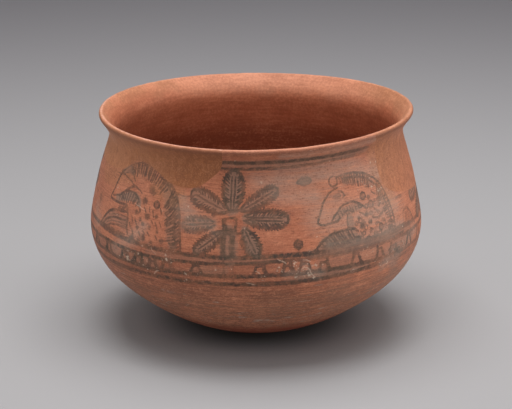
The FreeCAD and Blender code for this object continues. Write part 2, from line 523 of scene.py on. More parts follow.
stripe(((-120, 100), (-90, 100), (-50, 101.4), (-20, 102), (20, 103), (45, 104), (70, 104.6), (120, 103)),
       101.5, 2.6, ((-110, 0.65), (-60, 0.85), (-45, 1.0), (-30, 0.8), (-14, 1.0), (8, 0.85), (30, 0.95),
                    (46, 0.8), (60, 0.95), (80, 0.4), (110, 0.4), (150, 0.9)))
for points in ([(33, 116.4), (60, 117), (96, 117)], [(36, 120.6), (60, 120.8), (100, 121)]):
    brush(points, 1.2, 0.6)
for width, strength, *points in ((6.0, 0.7, (28, 118), (60, 118.8), (104, 119)),
                                 (6.0, 0.8, (80, 112), (87, 110.5), (92, 107)),
                                 (5.0, 0.7, (22, 106), (44, 106.2), (64, 106.4)),
                                 (6.0, 0.4, (-34, 109), (-24, 109.4), (-16, 109.8)),
                                 (8.0, 0.42, (-110, 108), (-84, 108), (-56, 108.4)),
                                 (8.0, 0.45, (34, 111.6), (60, 112), (104, 111.6)),
                                 (2.8, 0.35, (-62, 114.4), (-20, 115.2), (10, 116.2))):
    brush(points, width, strength, "wash")
places = list(TRESTLES)
while places[-1] < STRIP_RIGHT - CLEAR_OF_SEAM:
    places.append(places[-1] + TRESTLE_GAP + HAND.uniform(-1, 1))
while places[0] > STRIP_LEFT + CLEAR_OF_SEAM:
    places.insert(0, places[0] - TRESTLE_GAP + HAND.uniform(-1, 1))
for across in places:
    trestle(across, level(LADDER_FOOT, across), level(LADDER_TOP, across))
print(len(places), "trestles,", len(strokes), "strokes so far")

# %% [markdown]
# ## The animals
# A crouching animal with a long bowed snout, a bristling mane, a spotted flank and a
# folded foreleg is painted twice on the front, each time a little differently. Each is a
# function that paints it at its own place, and is painted again further round for the
# back. Loose lines give the outline, and rows of short hairs fill the mane.

# %% The first animal
def first_animal():
    """The animal to the left of the plant."""
    # Face and jaw
    brush([(-90.5, 154.5), (-93.5, 151.5), (-96, 146), (-97.5, 141.5), (-100, 136.5)], 1.2, 0.9)
    dot((-93, 152.3), 1.3, 0.9)
    ring((-101, 149.5), 1.9, 0.7, 0.35)
    brush([(-100, 135.8), (-94, 135.2), (-82, 135.6)], 1.5, 0.8)
    brush([(-98, 137.6), (-91, 139.3), (-87, 142), (-84, 144.6), (-80, 146.7), (-76, 147), (-71, 144.8)],
          1.3, 0.8)
    brush([(-89, 140.8), (-84, 143.4), (-79, 144), (-75, 142.6), (-72, 139.5)], 1.3, 0.8)
    brush([(-92, 152), (-86, 150.4), (-80, 148.2), (-75.5, 146.4)], 1.1, 0.75)
    brush([(-92, 137.6), (-84, 140.2), (-76, 141.5), (-72, 139)], 5.4, 1.0, "wash")
    hairs([(-91, 139.5), (-85, 143), (-76, 143.6), (-71, 140)],
          [(-91, 136.6), (-85, 136.8), (-78, 137.4), (-74, 136)], 10, 1.1, 0.75)
    brush([(-73, 137.6), (-70, 134.8), (-74, 132.5)], 1.0, 0.7)
    # Brow and mane
    brush([(-90, 154.8), (-86, 157.6), (-82, 159.6), (-76, 161.3), (-70, 161)], 1.0, 0.5)
    outer = [(-86, 157), (-80, 160), (-75, 161.3), (-70, 161), (-65, 160), (-60, 158.5), (-55, 156),
             (-50, 152.3), (-46.5, 147.5), (-44.5, 142), (-43, 136), (-42.3, 130), (-41.5, 123), (-41, 117.5)]
    inner = [(-83, 150.5), (-79, 152.5), (-72, 152.8), (-65, 151), (-60, 148.5), (-56.5, 145), (-54.5, 141),
             (-53.5, 136), (-52.5, 131), (-51.5, 126), (-51, 121), (-48, 118)]
    brush(outer[3:9], 1.1, 0.5)
    brush(outer[8:], 1.4, 0.75)
    brush([(-60, 156.2), (-55, 153.6), (-51, 149.8), (-48.3, 145), (-46.8, 140), (-46, 134), (-45.4, 127),
          (-44, 119)], 1.1, 0.75)
    hairs(outer[:8], inner[:6], 20, 1.1, 0.75, short=0.35)
    hairs(outer[7:], inner[6:], 18, 1.1, 0.8, slant=0.04, short=0.25, sag=1.1)
    brush([(-84, 156), (-81, 152.5), (-79, 150)], 1.2, 0.7)
    # Breast and folded foreleg
    brush([(-83, 136), (-80.3, 132.5), (-79.5, 128), (-79.3, 123), (-78, 120)], 1.5, 0.85)
    hairs([(-89, 133.8), (-79, 136)], [(-91, 131), (-83, 131)], 6, 0.9, 0.7)
    brush([(-107.5, 118.6), (-105.5, 122), (-102, 125.4), (-98.5, 128.2), (-94, 130.2), (-87, 131.2),
           (-80, 132)], 1.6, 0.85)
    brush([(-104.5, 119.5), (-101, 122.8), (-96, 125.2), (-89, 126.6), (-80, 127.3)], 1.4, 0.75)
    brush([(-99, 119.6), (-95, 121.6), (-88, 122.8), (-80, 123.2)], 1.3, 0.7)
    brush([(-96, 127), (-90, 128.6), (-80, 129.4)], 1.0, 0.55)
    brush([(-100, 121.4), (-93, 124), (-80, 125.2)], 0.9, 0.5)
    brush([(-108.5, 118.9), (-95, 119.6), (-80, 119.5)], 1.5, 0.7)
    brush([(-103, 121), (-96, 125.5), (-86, 126), (-80, 126)], 6.5, 0.6, "wash")
    # Spots on the flank
    for across, up, radius in ((-64, 147.7, 2.3), (-68, 141, 2.1), (-64.5, 133, 1.9), (-73, 133.8, 1.3),
                               (-69.5, 130.5, 1.3), (-67, 128.3, 1.2), (-58, 134, 1.3), (-62, 127.5, 1.3),
                               (-56.5, 126.3, 1.2), (-71, 125.6, 1.2), (-66, 121, 1.9), (-53, 121.5, 1.7),
                               (-74.5, 119.6, 1.8), (-60, 119.5, 1.3)):
        dot((across, up), radius, 0.75)
    ring((-59, 140.5), 2.0, 1.3, 0.9)
    dot((-59, 140.5), 1.4, 0.5)
    for tick in (((-77, 131.5), (-75, 128)), ((-72, 137.5), (-70.4, 134.4)), ((-61, 137), (-60, 133.5)),
                 ((-75.4, 124.4), (-73.4, 121.6)), ((-63.4, 124.6), (-61.4, 122.8)),
                 ((-58.4, 131), (-57, 128)), ((-66.8, 125), (-65, 123.4)), ((-73.5, 129.5), (-72, 127.4)),
                 ((-61.5, 131.4), (-60, 129.8)), ((-77.6, 127), (-76, 124)), ((-69.6, 123.4), (-68, 121.4)),
                 ((-56, 139), (-55, 136)), ((-55.6, 131.6), (-54.4, 129)), ((-63.6, 138.4), (-63, 135.6)),
                 ((-57.4, 123.6), (-55.6, 121.4)), ((-70, 119.6), (-67.6, 118.8)),
                 ((-62.6, 145), (-60, 147.4)), ((-67.6, 137.4), (-66, 135.4))):
        brush(tick, 1.3, 0.75)
    brush([(-53, 137), (-50.5, 134.5), (-52, 130)], 1.0, 0.6)
    brush([(-53, 150), (-49, 140), (-47, 130), (-46, 121)], 9.0, 0.55, "wash")
    brush([(-80, 156.5), (-70, 157), (-58, 152)], 8.0, 0.15, "wash")
    brush([(-91, 153.4), (-86, 155.6), (-82, 154.6)], 4.5, 0.6, "wash")


paint(first_animal, (0, 283))
print(len(strokes), "strokes with the first animal")

# %% [markdown]
# ## The second animal
# It faces the same way, with a longer snout, and its flank is filled with small curls
# drawn close together. Its tail shows only on the front, so it is a function of its own.

# %% The second animal
def second_animal():
    """The animal to the right of the plant."""
    # Snout, jaw and eye
    brush([(48.5, 150.4), (45, 149.5), (41.5, 147.6), (38.5, 144), (36.8, 140.5), (35.2, 137), (34, 133.6)],
          1.3, 0.9)
    brush([(34, 133.6), (35.6, 132.4), (38.5, 132.2), (42, 132.6), (45.5, 132.8), (48, 134.6)], 1.5, 0.85)
    brush([(42.5, 134), (44.8, 136.6), (47, 138.7), (51, 141.3), (55.5, 142), (60, 140.8), (64, 138.4),
           (66, 137.2)], 1.4, 0.85)
    brush([(45.5, 135.4), (49, 137), (55, 138), (62, 138)], 4.6, 0.7, "wash")
    hairs([(46, 137), (52, 140.3), (59, 139.6)], [(47, 134), (52, 135.6), (60, 136)],
          8, 0.8, 0.55)
    brush([(50, 136), (53, 137.8), (57, 136.4)], 0.9, 0.6)
    brush([(44.3, 145.5), (47, 147.4), (50, 146.6), (48, 144.9), (44.8, 145.2)], 0.9, 0.7)
    dot((47.3, 145.8), 1.5, 1.0)
    brush([(48.5, 148.6), (51.3, 147.7), (52.6, 145.8), (51, 144.8)], 1.1, 0.75)
    # Ear and mane
    brush([(46.5, 156.6), (44, 155.9), (43.3, 153.8), (44.6, 151.8), (47.5, 151.6), (49, 153.4),
           (48.3, 155.6)], 1.1, 0.75)
    outer = [(49, 156), (55, 156.6), (62, 156.2), (68, 155), (73, 152.6), (77, 150.4), (80, 147.5),
             (82.5, 143.4), (84.6, 139), (86.6, 134), (88, 129), (88.5, 125), (88.4, 120.5)]
    inner = [(51, 151), (58, 150), (66, 147.6), (70.5, 145.6), (75, 141), (78.6, 136), (81, 130), (82, 124.5)]
    brush(outer, 1.3, 0.8)
    brush([(52, 154.3), (60, 154.3), (66, 153.3), (71, 151.3), (75, 148.6), (78, 145.4), (81, 140),
           (83.6, 134), (85.2, 128), (85.6, 121)], 1.1, 0.75)
    hairs(outer[:5], inner[:4], 15, 1.0, 0.75, short=0.3)
    hairs(outer[5:], inner[4:], 16, 1.0, 0.7, short=0.3)
    brush([(54, 153.2), (66, 152.4), (74, 148)], 5.0, 0.5, "wash")
    # Breast, foreleg and belly
    brush([(53, 136), (52, 132.5), (52.4, 128.2)], 1.2, 0.65)
    brush([(54.4, 136), (54, 132), (55, 127)], 4.5, 0.8, "wash")
    brush([(31, 118.9), (33.2, 120.8), (36, 123.8), (40, 126.2), (45, 127.5), (51, 128), (55.5, 127.8),
           (58.5, 126)], 1.6, 0.85)
    brush([(35, 120.5), (42, 123.6), (52, 124.2), (58, 122.6)], 8.0, 0.9, "wash")
    hairs([(35, 122.6), (41, 126.2), (54, 127.6)], [(38, 119.8), (45, 120), (58, 120)],
          13, 1.0, 0.7)
    brush([(35, 120.9), (46, 122.6), (60, 121.6)], 1.0, 0.6)
    brush([(56, 120.6), (66, 120), (74, 120.4)], 1.0, 0.6)
    # Spots on the flank
    for across, up, radius in ((66, 133.4, 1.8), (62, 128, 1.9), (77, 139, 2.0), (68, 129, 1.5),
                               (58, 122.6, 1.7), (71, 123, 1.5), (83, 122.6, 1.8), (77.5, 131.5, 1.3),
                               (65.5, 121.3, 1.3), (60, 132.6, 1.1)):
        dot((across, up), radius, 0.85)
    for across, up, radius in ((65, 143.4, 2.0), (70, 138, 1.9), (76, 124.8, 1.8)):
        ring((across, up), radius, 1.1, 0.85)
        dot((across, up), 1.3, 0.5)
    for across, up in ((61, 131), (64.5, 126.6), (69.5, 133.6), (72.6, 127), (75, 133), (78, 128), (71, 121),
                       (67.6, 123.8), (62.6, 124), (73.4, 139.4), (76.6, 136.2), (79.6, 124.6), (58, 130),
                       (60.4, 121.4), (74.6, 121.6), (66.5, 137.6), (80, 133), (62, 138.6), (69, 142)):
        ring((across, up), HAND.uniform(0.8, 1.4), 0.9, 0.65)
    brush([(70, 132.6), (71.5, 130.6), (75, 130), (78.5, 132)], 1.3, 0.8)
    for tick in (((63, 131), (64.6, 128)), ((67, 126.4), (69.6, 124.8)), ((72, 136), (74, 134)),
                 ((60, 125.4), (62, 123)), ((73.6, 128), (75.4, 126.8)), ((79.6, 128.4), (80.4, 125)),
                 ((72, 144.6), (74.6, 142.6)), ((61, 135.6), (63.6, 134.2)), ((79, 121.4), (81.6, 119.8)),
                 ((68, 147.6), (71, 147))):
        brush(tick, 1.4, 0.7)


def tail():
    """The second animal's tail, with a mark above it."""
    brush([(99, 127.4), (104, 128.2), (108, 125.4), (111, 120.6), (113, 117.4)], 1.6, 0.6)
    hairs([(99, 127), (108, 125.6)], [(97, 122), (110, 119.5)], 7, 0.9, 0.45)
    brush([(93.5, 136), (100, 136)], 2.2, 0.5)


second_animal()
tail()
paint(second_animal, (-297,))
print(len(strokes), "strokes with both animals")

# %% [markdown]
# ## The plant
# A tall plant stands between the animals, on a double stem that runs down across the
# stripes. Its long petals are hatched along their edges and washed over in thin paint.
# One function paints a petal from its root, its tip and its width, so that the seven of
# them stay the same kind of thing while each has its own place.

# %% The plant
def petal(root, tip, half_width, strength, ribs=1):
    """Paints one petal: two bowed edges, ribs, hatching and a thin wash."""
    root, tip = np.array(root, float), np.array(tip, float)
    ahead = tip - root
    length = float(np.hypot(*ahead))
    ahead /= length
    aside = np.array([-ahead[1], ahead[0]])

    def place(share, side):
        return root + ahead * length * share + aside * side * half_width

    sides = ((0.0, 0.25), (0.2, 0.75), (0.5, 1.0), (0.8, 0.95), (0.95, 0.55), (1.0, 0.0))
    for sign in (-1, 1):
        brush([place(share, sign * width) for share, width in sides], 1.5, strength)
        hairs([place(share, sign * (width + 1.5 / half_width)) for share, width in sides[1:]],
              [place(share, sign * 0.45 * width) for share, width in sides[1:]],
              max(6, round(length / 1.9)), 1.0, strength, slant=-0.12)
    for k in range(ribs):
        offset = (k - (ribs - 1) / 2) * 0.36
        brush([place(0.05, offset * 0.8), place(0.5, offset), place(0.86, offset)], 1.1, 0.9 * strength)
    middle = [place(share, 0) for share in (0.05, 0.35, 0.7, 0.93)]
    brush(middle, 1.75 * half_width, strength, "wash")


def plant():
    """The plant with its stem across the stripes."""
    petal((-13.2, 142), (-12.8, 163.3), 5.6, 0.95, ribs=2)
    petal((-8, 142.4), (12.5, 153.6), 3.4, 0.75)
    petal((-6.5, 138.2), (17.8, 137), 4.4, 0.85, ribs=2)
    petal((-6, 132.4), (0.6, 118.4), 3.8, 1.0)
    petal((-18, 130.6), (-33, 118.6), 3.1, 0.8)
    petal((-22.5, 135), (-41.2, 132.4), 3.6, 0.7)
    petal((-17.5, 142.2), (-37.5, 150.6), 4.4, 0.75)
    # Stem
    for across in (-17.2, -12.5):
        brush([(across, 131), (across - 0.3, 124), (across, 117.5)], 3.0, 0.85, taper=0)
        brush([(across, 117), (across + 0.4, 111), (across + 0.6, 104.5)], 1.2, 0.45)
    brush([(-14.6, 131), (-14.8, 117.5)], 9.5, 0.8, "wash", taper=0)
    brush([(-21, 130.3), (-14, 129.8), (-7, 130.4)], 1.6, 0.7)
    # Heart
    for side, width in (([(-18, 136.8), (-14.6, 138.4), (-10.6, 138.2)], 1.5),
                        ([(-10.8, 138.2), (-10.6, 135), (-11.2, 131.8)], 1.5),
                        ([(-17.4, 136.8), (-17, 134), (-16.2, 131.6)], 2.6),
                        ([(-16.8, 131.8), (-14, 132), (-11, 131.8)], 1.6)):
        brush(side, width, 0.95, taper=0)
    brush([(-4.8, 138.4), (-4.4, 135), (-6, 132), (-9.6, 130.2)], 1.0, 0.55)
    brush([(-24, 139), (-19, 140.3), (-14, 141.8), (-8, 142.5), (-3.5, 141)], 1.7, 0.8)
    brush([(-7.6, 127.8), (-8, 124.6), (-6, 123.6), (-5.2, 125.2)], 1.6, 0.9)


paint(plant, (0, 153, 289, -150))
print(len(strokes), "strokes with the plants")

# %% [markdown]
# ## Small marks, scale and haze
# A ringed dot and a little lozenge fill gaps in the frieze. Pale lime scale from the
# ground has stuck in places along the stripes, in spots, streaks and spatters, and a
# greyish haze lies over part of the wall. They are brushed on like paint, each in a layer
# of its own, because where they lie on the real bowl is chance and follows no rule. Two
# more layers hold the toned edge of the left fill and the deeper red below the band.

# %% Small marks, scale and haze
for across in (22.5, 310.8):
    ring((across, 123.5), 2.2, 1.4, 0.9)
    dot((across, 123.5), 2.6, 0.8)
brush([(23.5, 155.6), (28.3, 158.6), (32.6, 156), (28.2, 153.8), (23.8, 155.4)], 1.0, 0.3)
brush([(24.6, 155.8), (31.4, 156.2)], 4.6, 1.0, "wash")
dot((-114.5, 131.5), 2.9, 0.5)
dot((-113.5, 152), 1.6, 0.3)

SCALE_SIZE = 0.75            # the spots' share of the room that they were noted with
SCALE_SPOTS = ((-77, 106.5, 1.6), (-68, 111.5, 1.2), (-49, 112.5, 1.3), (-46, 111.2, 0.9), (-38, 106.2, 1.5),
               (-21, 110, 0.8), (20, 113.5, 1.0), (28, 106.2, 1.7), (30.5, 104.6, 1.1), (3, 157, 1.2),
               (33, 126.7, 1.0), (-38, 137, 0.8), (-38.5, 142.5, 0.7), (-12, 170, 1.0), (-90, 128, 1.0),
               (73, 146.6, 1.2), (78, 143.6, 1.0), (81, 144.6, 1.0), (76, 159, 1.1), (81, 158.4, 1.0),
               (80, 102.5, 2.0), (64, 116, 0.8), (96, 119.6, 0.9), (-62, 104, 0.9), (12, 112, 0.8))
SCALE_STREAKS = (((-59.5, 117), (-57.5, 115), (-55.5, 114.2)), ((-57.5, 102.4), (-55.6, 104), (-53.8, 105)),
                 ((-0.6, 110.6), (1, 109.8), (2.6, 108.8)), ((11, 116.4), (13.4, 115.2), (16, 114)),
                 ((25, 115.4), (27, 114.6), (29, 113.8)), ((26, 111.2), (27.6, 110), (29, 109)),
                 ((-4, 103.3), (-2, 102.6), (0, 102.1)), ((-75, 138), (-71, 137.2), (-67, 136.4)),
                 ((28.5, 108.8), (29.4, 106.8), (31, 105.2)))
for across, up, radius in SCALE_SPOTS:
    dot((across, up), SCALE_SIZE * radius, 0.9, "scale")
for points in SCALE_STREAKS:
    brush(points, 0.9, 0.5, "scale", shake=0.4)
SPATTERS = ((28, 108.5, 2.6, 22), (-76, 107, 2.0, 10), (-49, 112, 1.6, 7), (-38, 105.5, 1.8, 8),
            (75, 106, 3.5, 12), (-57, 104.5, 1.5, 5), (20, 113, 1.8, 6), (64, 112, 3, 7),
            (96, 112, 4, 10), (80, 145, 3, 5), (-66, 110, 2.5, 6))
for across, up, spread, count in SPATTERS:
    for _ in range(count):
        place = (HAND.gauss(across, 1.4 * spread), HAND.gauss(up, spread))
        dot(place, HAND.uniform(0.3, 0.75), HAND.uniform(0.35, 0.75), "scale")
DARK_SPECKS, PALE_SPECKS = 14, 90
for _ in range(DARK_SPECKS):
    dot((HAND.gauss(87, 3), HAND.gauss(110, 2)), HAND.uniform(0.5, 1.1), HAND.uniform(0.6, 1.0))
for _ in range(PALE_SPECKS):
    across, up = HAND.uniform(STRIP_LEFT + 3, STRIP_RIGHT - 3), HAND.uniform(96, 172)
    dot((across, up), HAND.uniform(0.35, 0.8), HAND.uniform(0.3, 0.7), "scale")
AREAS = {
    "haze": (
        (16, (0, 157), (25, 158), (60, 160)), (14, (12, 150), (34, 148)),
        (9, (16, 108), (24, 108), (34, 107)), (12, (56, 160), (84, 152)), (16, (-118, 124), (-112, 118)),
        (16, (78, 104), (112, 114)), (14, (-42, 146), (-34, 132)), (9, (25, 113), (29, 108), (33, 105)),
        (12, (-42, 142), (-24, 132)), (7, (14, 172.8), (40, 173), (76, 173.4)),
        (26, (36, 136), (62, 134), (92, 132)), (11, (40, 122), (64, 121), (96, 122)),
        (12, (-88, 110), (-76, 118), (-66, 127))),
    "crust": (
        (14, (-88, 108), (-70, 108), (-48, 107)), (11, (-42, 106), (-30, 107)),
        (13, (-6, 104), (8, 110), (30, 108)), (13, (20, 113), (33, 104)), (9, (46, 105), (66, 106)),
        (16, (70, 108), (92, 110), (112, 112)), (6, (-18, 174.5), (30, 175), (74, 175)),
        (13, (66, 150), (78, 146), (84, 136)), (10, (-64, 120), (-44, 114))),
    "toned": (
        (17, (-118, 152), (-100, 151), (-88, 156), (-70, 160)), (12, (-62, 152), (-44, 147)),
        (11, (80, 172), (80, 158), (82, 146), (88, 138))),
}
AREA_STRENGTHS = {"haze": 0.7, "crust": 1.0, "toned": 1.0}
for layer, areas in AREAS.items():
    for width, *points in areas:
        brush(points, width, AREA_STRENGTHS[layer], layer, shake=0)
edge_line = smooth_line([(-98, 150.6), (-88, 152.8), (-70, 160.6), (-58, 156.5), (-44, 148), (-30, 150)], 2.0)
brush(edge_line, 0.9, 0.5, shake=0.3)
brush([(-66, 103), (-20, 104), (0, 105), (14, 105)], 30, 1.0, "deep", shake=0)
print(len(strokes), "strokes in all")

# %% [markdown]
# ## Setting the strokes into the mesh
# Now the strip becomes a mesh. A plain grid gives it even faces, and a constrained
# triangulation lays the strokes' lines and the broken edges into it as edges, so that no
# line has to follow the grid. Cutting each line in with the knife would do the same by
# hand, but it needs a window and would take days.

# %% Set the strokes into the strip's mesh
BAND_STEP = 3.0
LIP_ROWS = 9
INSIDE_STEP = 4.0
CLEAR_OF_LINES = 0.8         # grid points this near to a drawn line are left out
JOINED_WITHIN = 0.02         # drawn points nearer than this become one, in millimetres
SLIVER = 1e-7                # a triangle this thin, in square millimetres, is dropped
DOT_SIDES = 10
EMBEDDED = ("ink", "wash", "scale")    # the broad soft layers need no edges of their own

up_rows = np.linspace(BAND_FOOT, LIP_START / MM, round((LIP_START / MM - BAND_FOOT) / BAND_STEP) + 1)
lip_rows = np.linspace(LIP_START, LIP_END, LIP_ROWS + 1)[1:] / MM
down_rows = np.linspace(LIP_END / MM, BAND_END, round((BAND_END - LIP_END / MM) / INSIDE_STEP) + 1)[1:]
ROWS = np.concatenate([up_rows, lip_rows, down_rows])

points, edges = [], []


def lay(line, closed=False):
    """Adds a line's points and edges to the drawing."""
    start = len(points)
    points.extend((float(x), float(y)) for x, y in line)
    edges.extend((i, i + 1) for i in range(start, len(points) - 1))
    if closed:
        edges.append((len(points) - 1, start))


def lay_stroke(stroke):
    """Adds a stroke's middle line and the outline round it."""
    line, half = stroke["line"], stroke["half"] * FEATHER
    if len(line) == 1:
        turns = np.linspace(0, 2 * math.pi, DOT_SIDES, endpoint=False)
        lay(line[0] + half[0] * np.stack([np.sin(turns), np.cos(turns)], 1), closed=True)
        points.append(tuple(map(float, line[0])))
        return
    ahead = np.gradient(line, axis=0)
    ahead /= np.linalg.norm(ahead, axis=1)[:, None]
    aside = np.stack([-ahead[:, 1], ahead[:, 0]], 1) * half[:, None]
    left, right = line + aside, line - aside
    if stroke["through"]:
        for side, sign in ((left, 1), (right, -1)):
            side[[0, -1]] = line[[0, -1]] + (0, sign * half[0])
            lay(side)
        lay(line)
        return
    start_cap = line[0] - ahead[0] * half[0]
    end_cap = line[-1] + ahead[-1] * half[-1]
    lay(np.vstack([start_cap, left, end_cap, right[::-1]]), closed=True)
    lay(line)


for outer, inner in BREAKS.values():
    lay(np.vstack([outer, inner[-2:0:-1]]), closed=True)
for stroke in strokes:
    if stroke["layer"] in EMBEDDED:
        lay_stroke(stroke)
drawn = len(points)
if not all(STRIP_LEFT <= across <= STRIP_RIGHT for across, _ in points):
    raise SystemExit("a stroke runs past the end of the strip")
near = kdtree.KDTree(drawn)
for i, (across, up) in enumerate(points):
    near.insert((across, up, 0), i)
near.balance()
for side in (STRIP_LEFT, STRIP_RIGHT):
    on_seam = sorted({up for across, up in points if across == side} | {float(row) for row in ROWS})
    lay([(side, up) for up in on_seam])
for row in ROWS:
    for column in range(1, COLUMNS):
        place = (STRIP_LEFT + column * COLUMN, float(row))
        if row in (ROWS[0], ROWS[-1]) or near.find((*place, 0))[2] > CLEAR_OF_LINES:
            points.append(place)
flat_points, _, flat_faces, *_ = delaunay_2d_cdt([Vector(p) for p in points], edges, [], 0, JOINED_WITHIN)
STRIP = np.array([tuple(p) for p in flat_points])
TRIANGLES = np.array(flat_faces)
first, second = (STRIP[TRIANGLES[:, k]] - STRIP[TRIANGLES[:, 0]] for k in (1, 2))
TRIANGLES = TRIANGLES[first[:, 0] * second[:, 1] - first[:, 1] * second[:, 0] > SLIVER]
print(drawn, "drawn points,", len(STRIP), "in the strip,", len(TRIANGLES), "triangles")

# %% [markdown]
# ## How deep in the paint
# Each point of the strip gets one number for each layer: the paint's depth, the haze and
# so on. It falls evenly from 1 on a stroke's middle line to 0 at its edge lines, so
# straight triangles between them carry it without any error. Where strokes cross, the
# deeper one counts.

# %% Paint the layers
def beside(here, line):
    """How far along each run of a line some points lie, and how far off the run."""
    start, span = line[:-1], np.diff(line, axis=0)
    t = np.clip(((here[:, None] - start) * span).sum(2) / (span ** 2).sum(1), 0, 1)
    return t, np.linalg.norm(here[:, None] - start - t[..., None] * span, axis=2)


def paint_layer(layer):
    """Depth in a layer's strokes at each point, and the strength of the deepest."""
    depth, strength = np.zeros(len(STRIP)), np.zeros(len(STRIP))
    for stroke in strokes:
        if stroke["layer"] != layer:
            continue
        line, half = stroke["line"], stroke["half"] * FEATHER
        low, high = line.min(0) - half.max(), line.max(0) + half.max()
        mine = np.flatnonzero(((STRIP >= low) & (STRIP <= high)).all(1))
        if len(mine) == 0:
            continue
        here = STRIP[mine]
        if len(line) == 1:
            found = 1 - np.hypot(*(here - line[0]).T) / half[0]
        else:
            t, gap = beside(here, line)
            reach = half[:-1] + t * np.diff(half)
            found = (1 - gap / reach).max(1)
        deeper = mine[found > depth[mine]]
        depth[deeper] = found[found > depth[mine]]
        known = np.array(stroke["strength"], float)
        strength[deeper] = np.interp(STRIP[deeper, 0], *known.T) if known.ndim else known
    return depth, strength


LAYERS = {}
for layer in ("ink", "wash", "scale", "haze", "crust", "toned", "deep"):
    LAYERS[layer], LAYERS[layer + "_strength"] = paint_layer(layer)
    print(layer, "covers", int((LAYERS[layer] > 0).sum()), "points")
# Three more layers follow the lip: its worn edge with a painted highlight, the painted shade on the wall
# under it, and the inside
from_crown = STRIP[:, 1] - CROWN / MM
broad_shade = np.clip((from_crown + 12) / 9, 0, 1)
narrow_shade = np.clip((from_crown + 3.5) / 1.2, 0, 1)
# painted shade under the lip: the lip's outer round and the wall just below it are darkened
painted_lip_shade = 0.5 * broad_shade + 0.9 * narrow_shade
LAYERS["lip"] = np.clip(1.4 - abs(from_crown - 0.8) / 0.8, 0, 1)
LAYERS["painted_lip_shade"] = painted_lip_shade * np.clip(0.2 - 1.6 * from_crown, 0, 1)
LAYERS["inside"] = np.clip(from_crown / 2 + 0.5, 0, 1)

# %% [markdown]
# ## Three pieces from one strip
# The broken edges part the strip's triangles into clay and two fills. Each piece also
# gets the face of the break itself, the rough wall between its outer and its inner edge,
# so that each is a closed solid. Small swells and hollows of the hand-shaped wall are
# added as the strip is wrapped, the same for all three, so that they still fit.

# %% Part the strip
SWELL = 0.35 * MM            # depth of the hand's hollows
SWELL_LENGTH = 45 * MM
LIP_NICK = 0.35 * MM
NICK_LENGTH = 7 * MM
NICK_REACH = 2.5 * LIP_ROUND
NICK_SHIFT = Vector((3, 5, 7))
OUTSIDE_FACE, INSIDE_FACE, BREAK_FACE = 0, 1, 2


def by_hand(place, up):
    """A point of the wall moved as far as the hand-shaped surface leaves the ideal one."""
    across = Vector((place[0], place[1], 0))
    if across.length < FOOT_RADIUS or place[2] < 1 * MM:
        return place
    ease = min(1, (across.length - FOOT_RADIUS) / FOOT_RADIUS)
    hollow = SWELL * (0.5 + 0.5 * noise.noise(Vector(place) / SWELL_LENGTH)) * ease
    moved_in = Vector(place) - across.normalized() * hollow
    near_lip = max(0.0, 1 - abs(up - CROWN / MM) * MM / NICK_REACH)
    nick = max(0.0, noise.noise(Vector(place) / NICK_LENGTH + NICK_SHIFT)) * LIP_NICK
    moved_in.z -= nick * near_lip
    return tuple(moved_in)


def inside_of(points, fence):
    """Which points lie inside a closed line."""
    found = np.zeros(len(points), bool)
    x, y = points[:, 0], points[:, 1]
    for (ax, ay), (bx, by) in zip(fence, np.roll(fence, -1, axis=0)):
        if ay == by:
            continue
        crosses = (ay > y) != (by > y)
        found ^= crosses & (x < (bx - ax) * (y - ay) / (by - ay) + ax)
    return found


def how_far(corners, line):
    """How many runs along a line some of the strip's points lie, never turning back."""
    t, gap = beside(STRIP[corners], line)
    nearest = gap.argmin(1)
    return np.maximum.accumulate(nearest + t[np.arange(len(corners)), nearest])


def edge_round(owner, outer, inner):
    """The points round an owner's triangles, along its outer line and its inner one."""
    mine = TRIANGLES[OWNER == owner]
    sides = {(a, b) for face in mine for a, b in zip(face, np.roll(face, -1))}
    following = {a: b for a, b in sides if (b, a) not in sides}
    corners = np.array(sorted(following))

    def nearest_to(place):
        return int(corners[np.hypot(*(STRIP[corners] - place).T).argmin()])

    def walk(start, end):
        path = [start]
        while path[-1] != end:
            path.append(int(following[path[-1]]))
        return path

    first, last = nearest_to(outer[0]), nearest_to(outer[-1])
    ahead, behind = walk(first, last), walk(last, first)[::-1]
    if len(ahead) + len(behind) - 2 != len(following):
        raise SystemExit("the broken edge isn't one closed line")
    return (ahead, how_far(ahead, outer)), (behind, how_far(behind, inner))


def break_faces(owner, outer, inner):
    """Triangles through the wall between a break's outer and inner line.

    Each corner comes with how far along its line it lies, and 0 outside or 1 inside."""
    sides = zip((0, 1), edge_round(owner, outer, inner))
    ahead, behind = ([(*corner, side) for corner in zip(*line)] for side, line in sides)
    faces, i, j = [], 0, 0
    while i < len(ahead) - 1 or j < len(behind) - 1:
        outer_next = ahead[i + 1][1] if i < len(ahead) - 1 else math.inf
        inner_next = behind[j + 1][1] if j < len(behind) - 1 else math.inf
        if outer_next <= inner_next:
            corners = [ahead[i], ahead[i + 1], behind[j]]
            i += 1
        else:
            corners = [ahead[i], behind[j + 1], behind[j]]
            j += 1
        if len({corner[0] for corner in corners}) == 3:
            faces.append(corners)
    return faces


WRAPPED = [by_hand(tuple(place), up) for place, up in zip(wrap(*STRIP.T), STRIP[:, 1])]
CENTRES = STRIP[TRIANGLES].mean(1)
OWNER = np.zeros(len(TRIANGLES), int)
break_sides = {}
for number, (name, (outer, inner)) in enumerate(BREAKS.items(), 1):
    OWNER[inside_of(CENTRES, np.vstack([outer, inner[-2:0:-1]]))] = number
    break_sides[name] = break_faces(number, outer, inner)
    taken = int((OWNER == number).sum())
    print(name, "takes", taken, "triangles and", len(break_sides[name]), "on its break")

# %% [markdown]
# ## Making the meshes
# A mesh is built from the triangles of each owner and the faces of its breaks. Faces are
# marked as outside, inside or break, because the flat map that carries the finish is
# laid out side by side for the three.

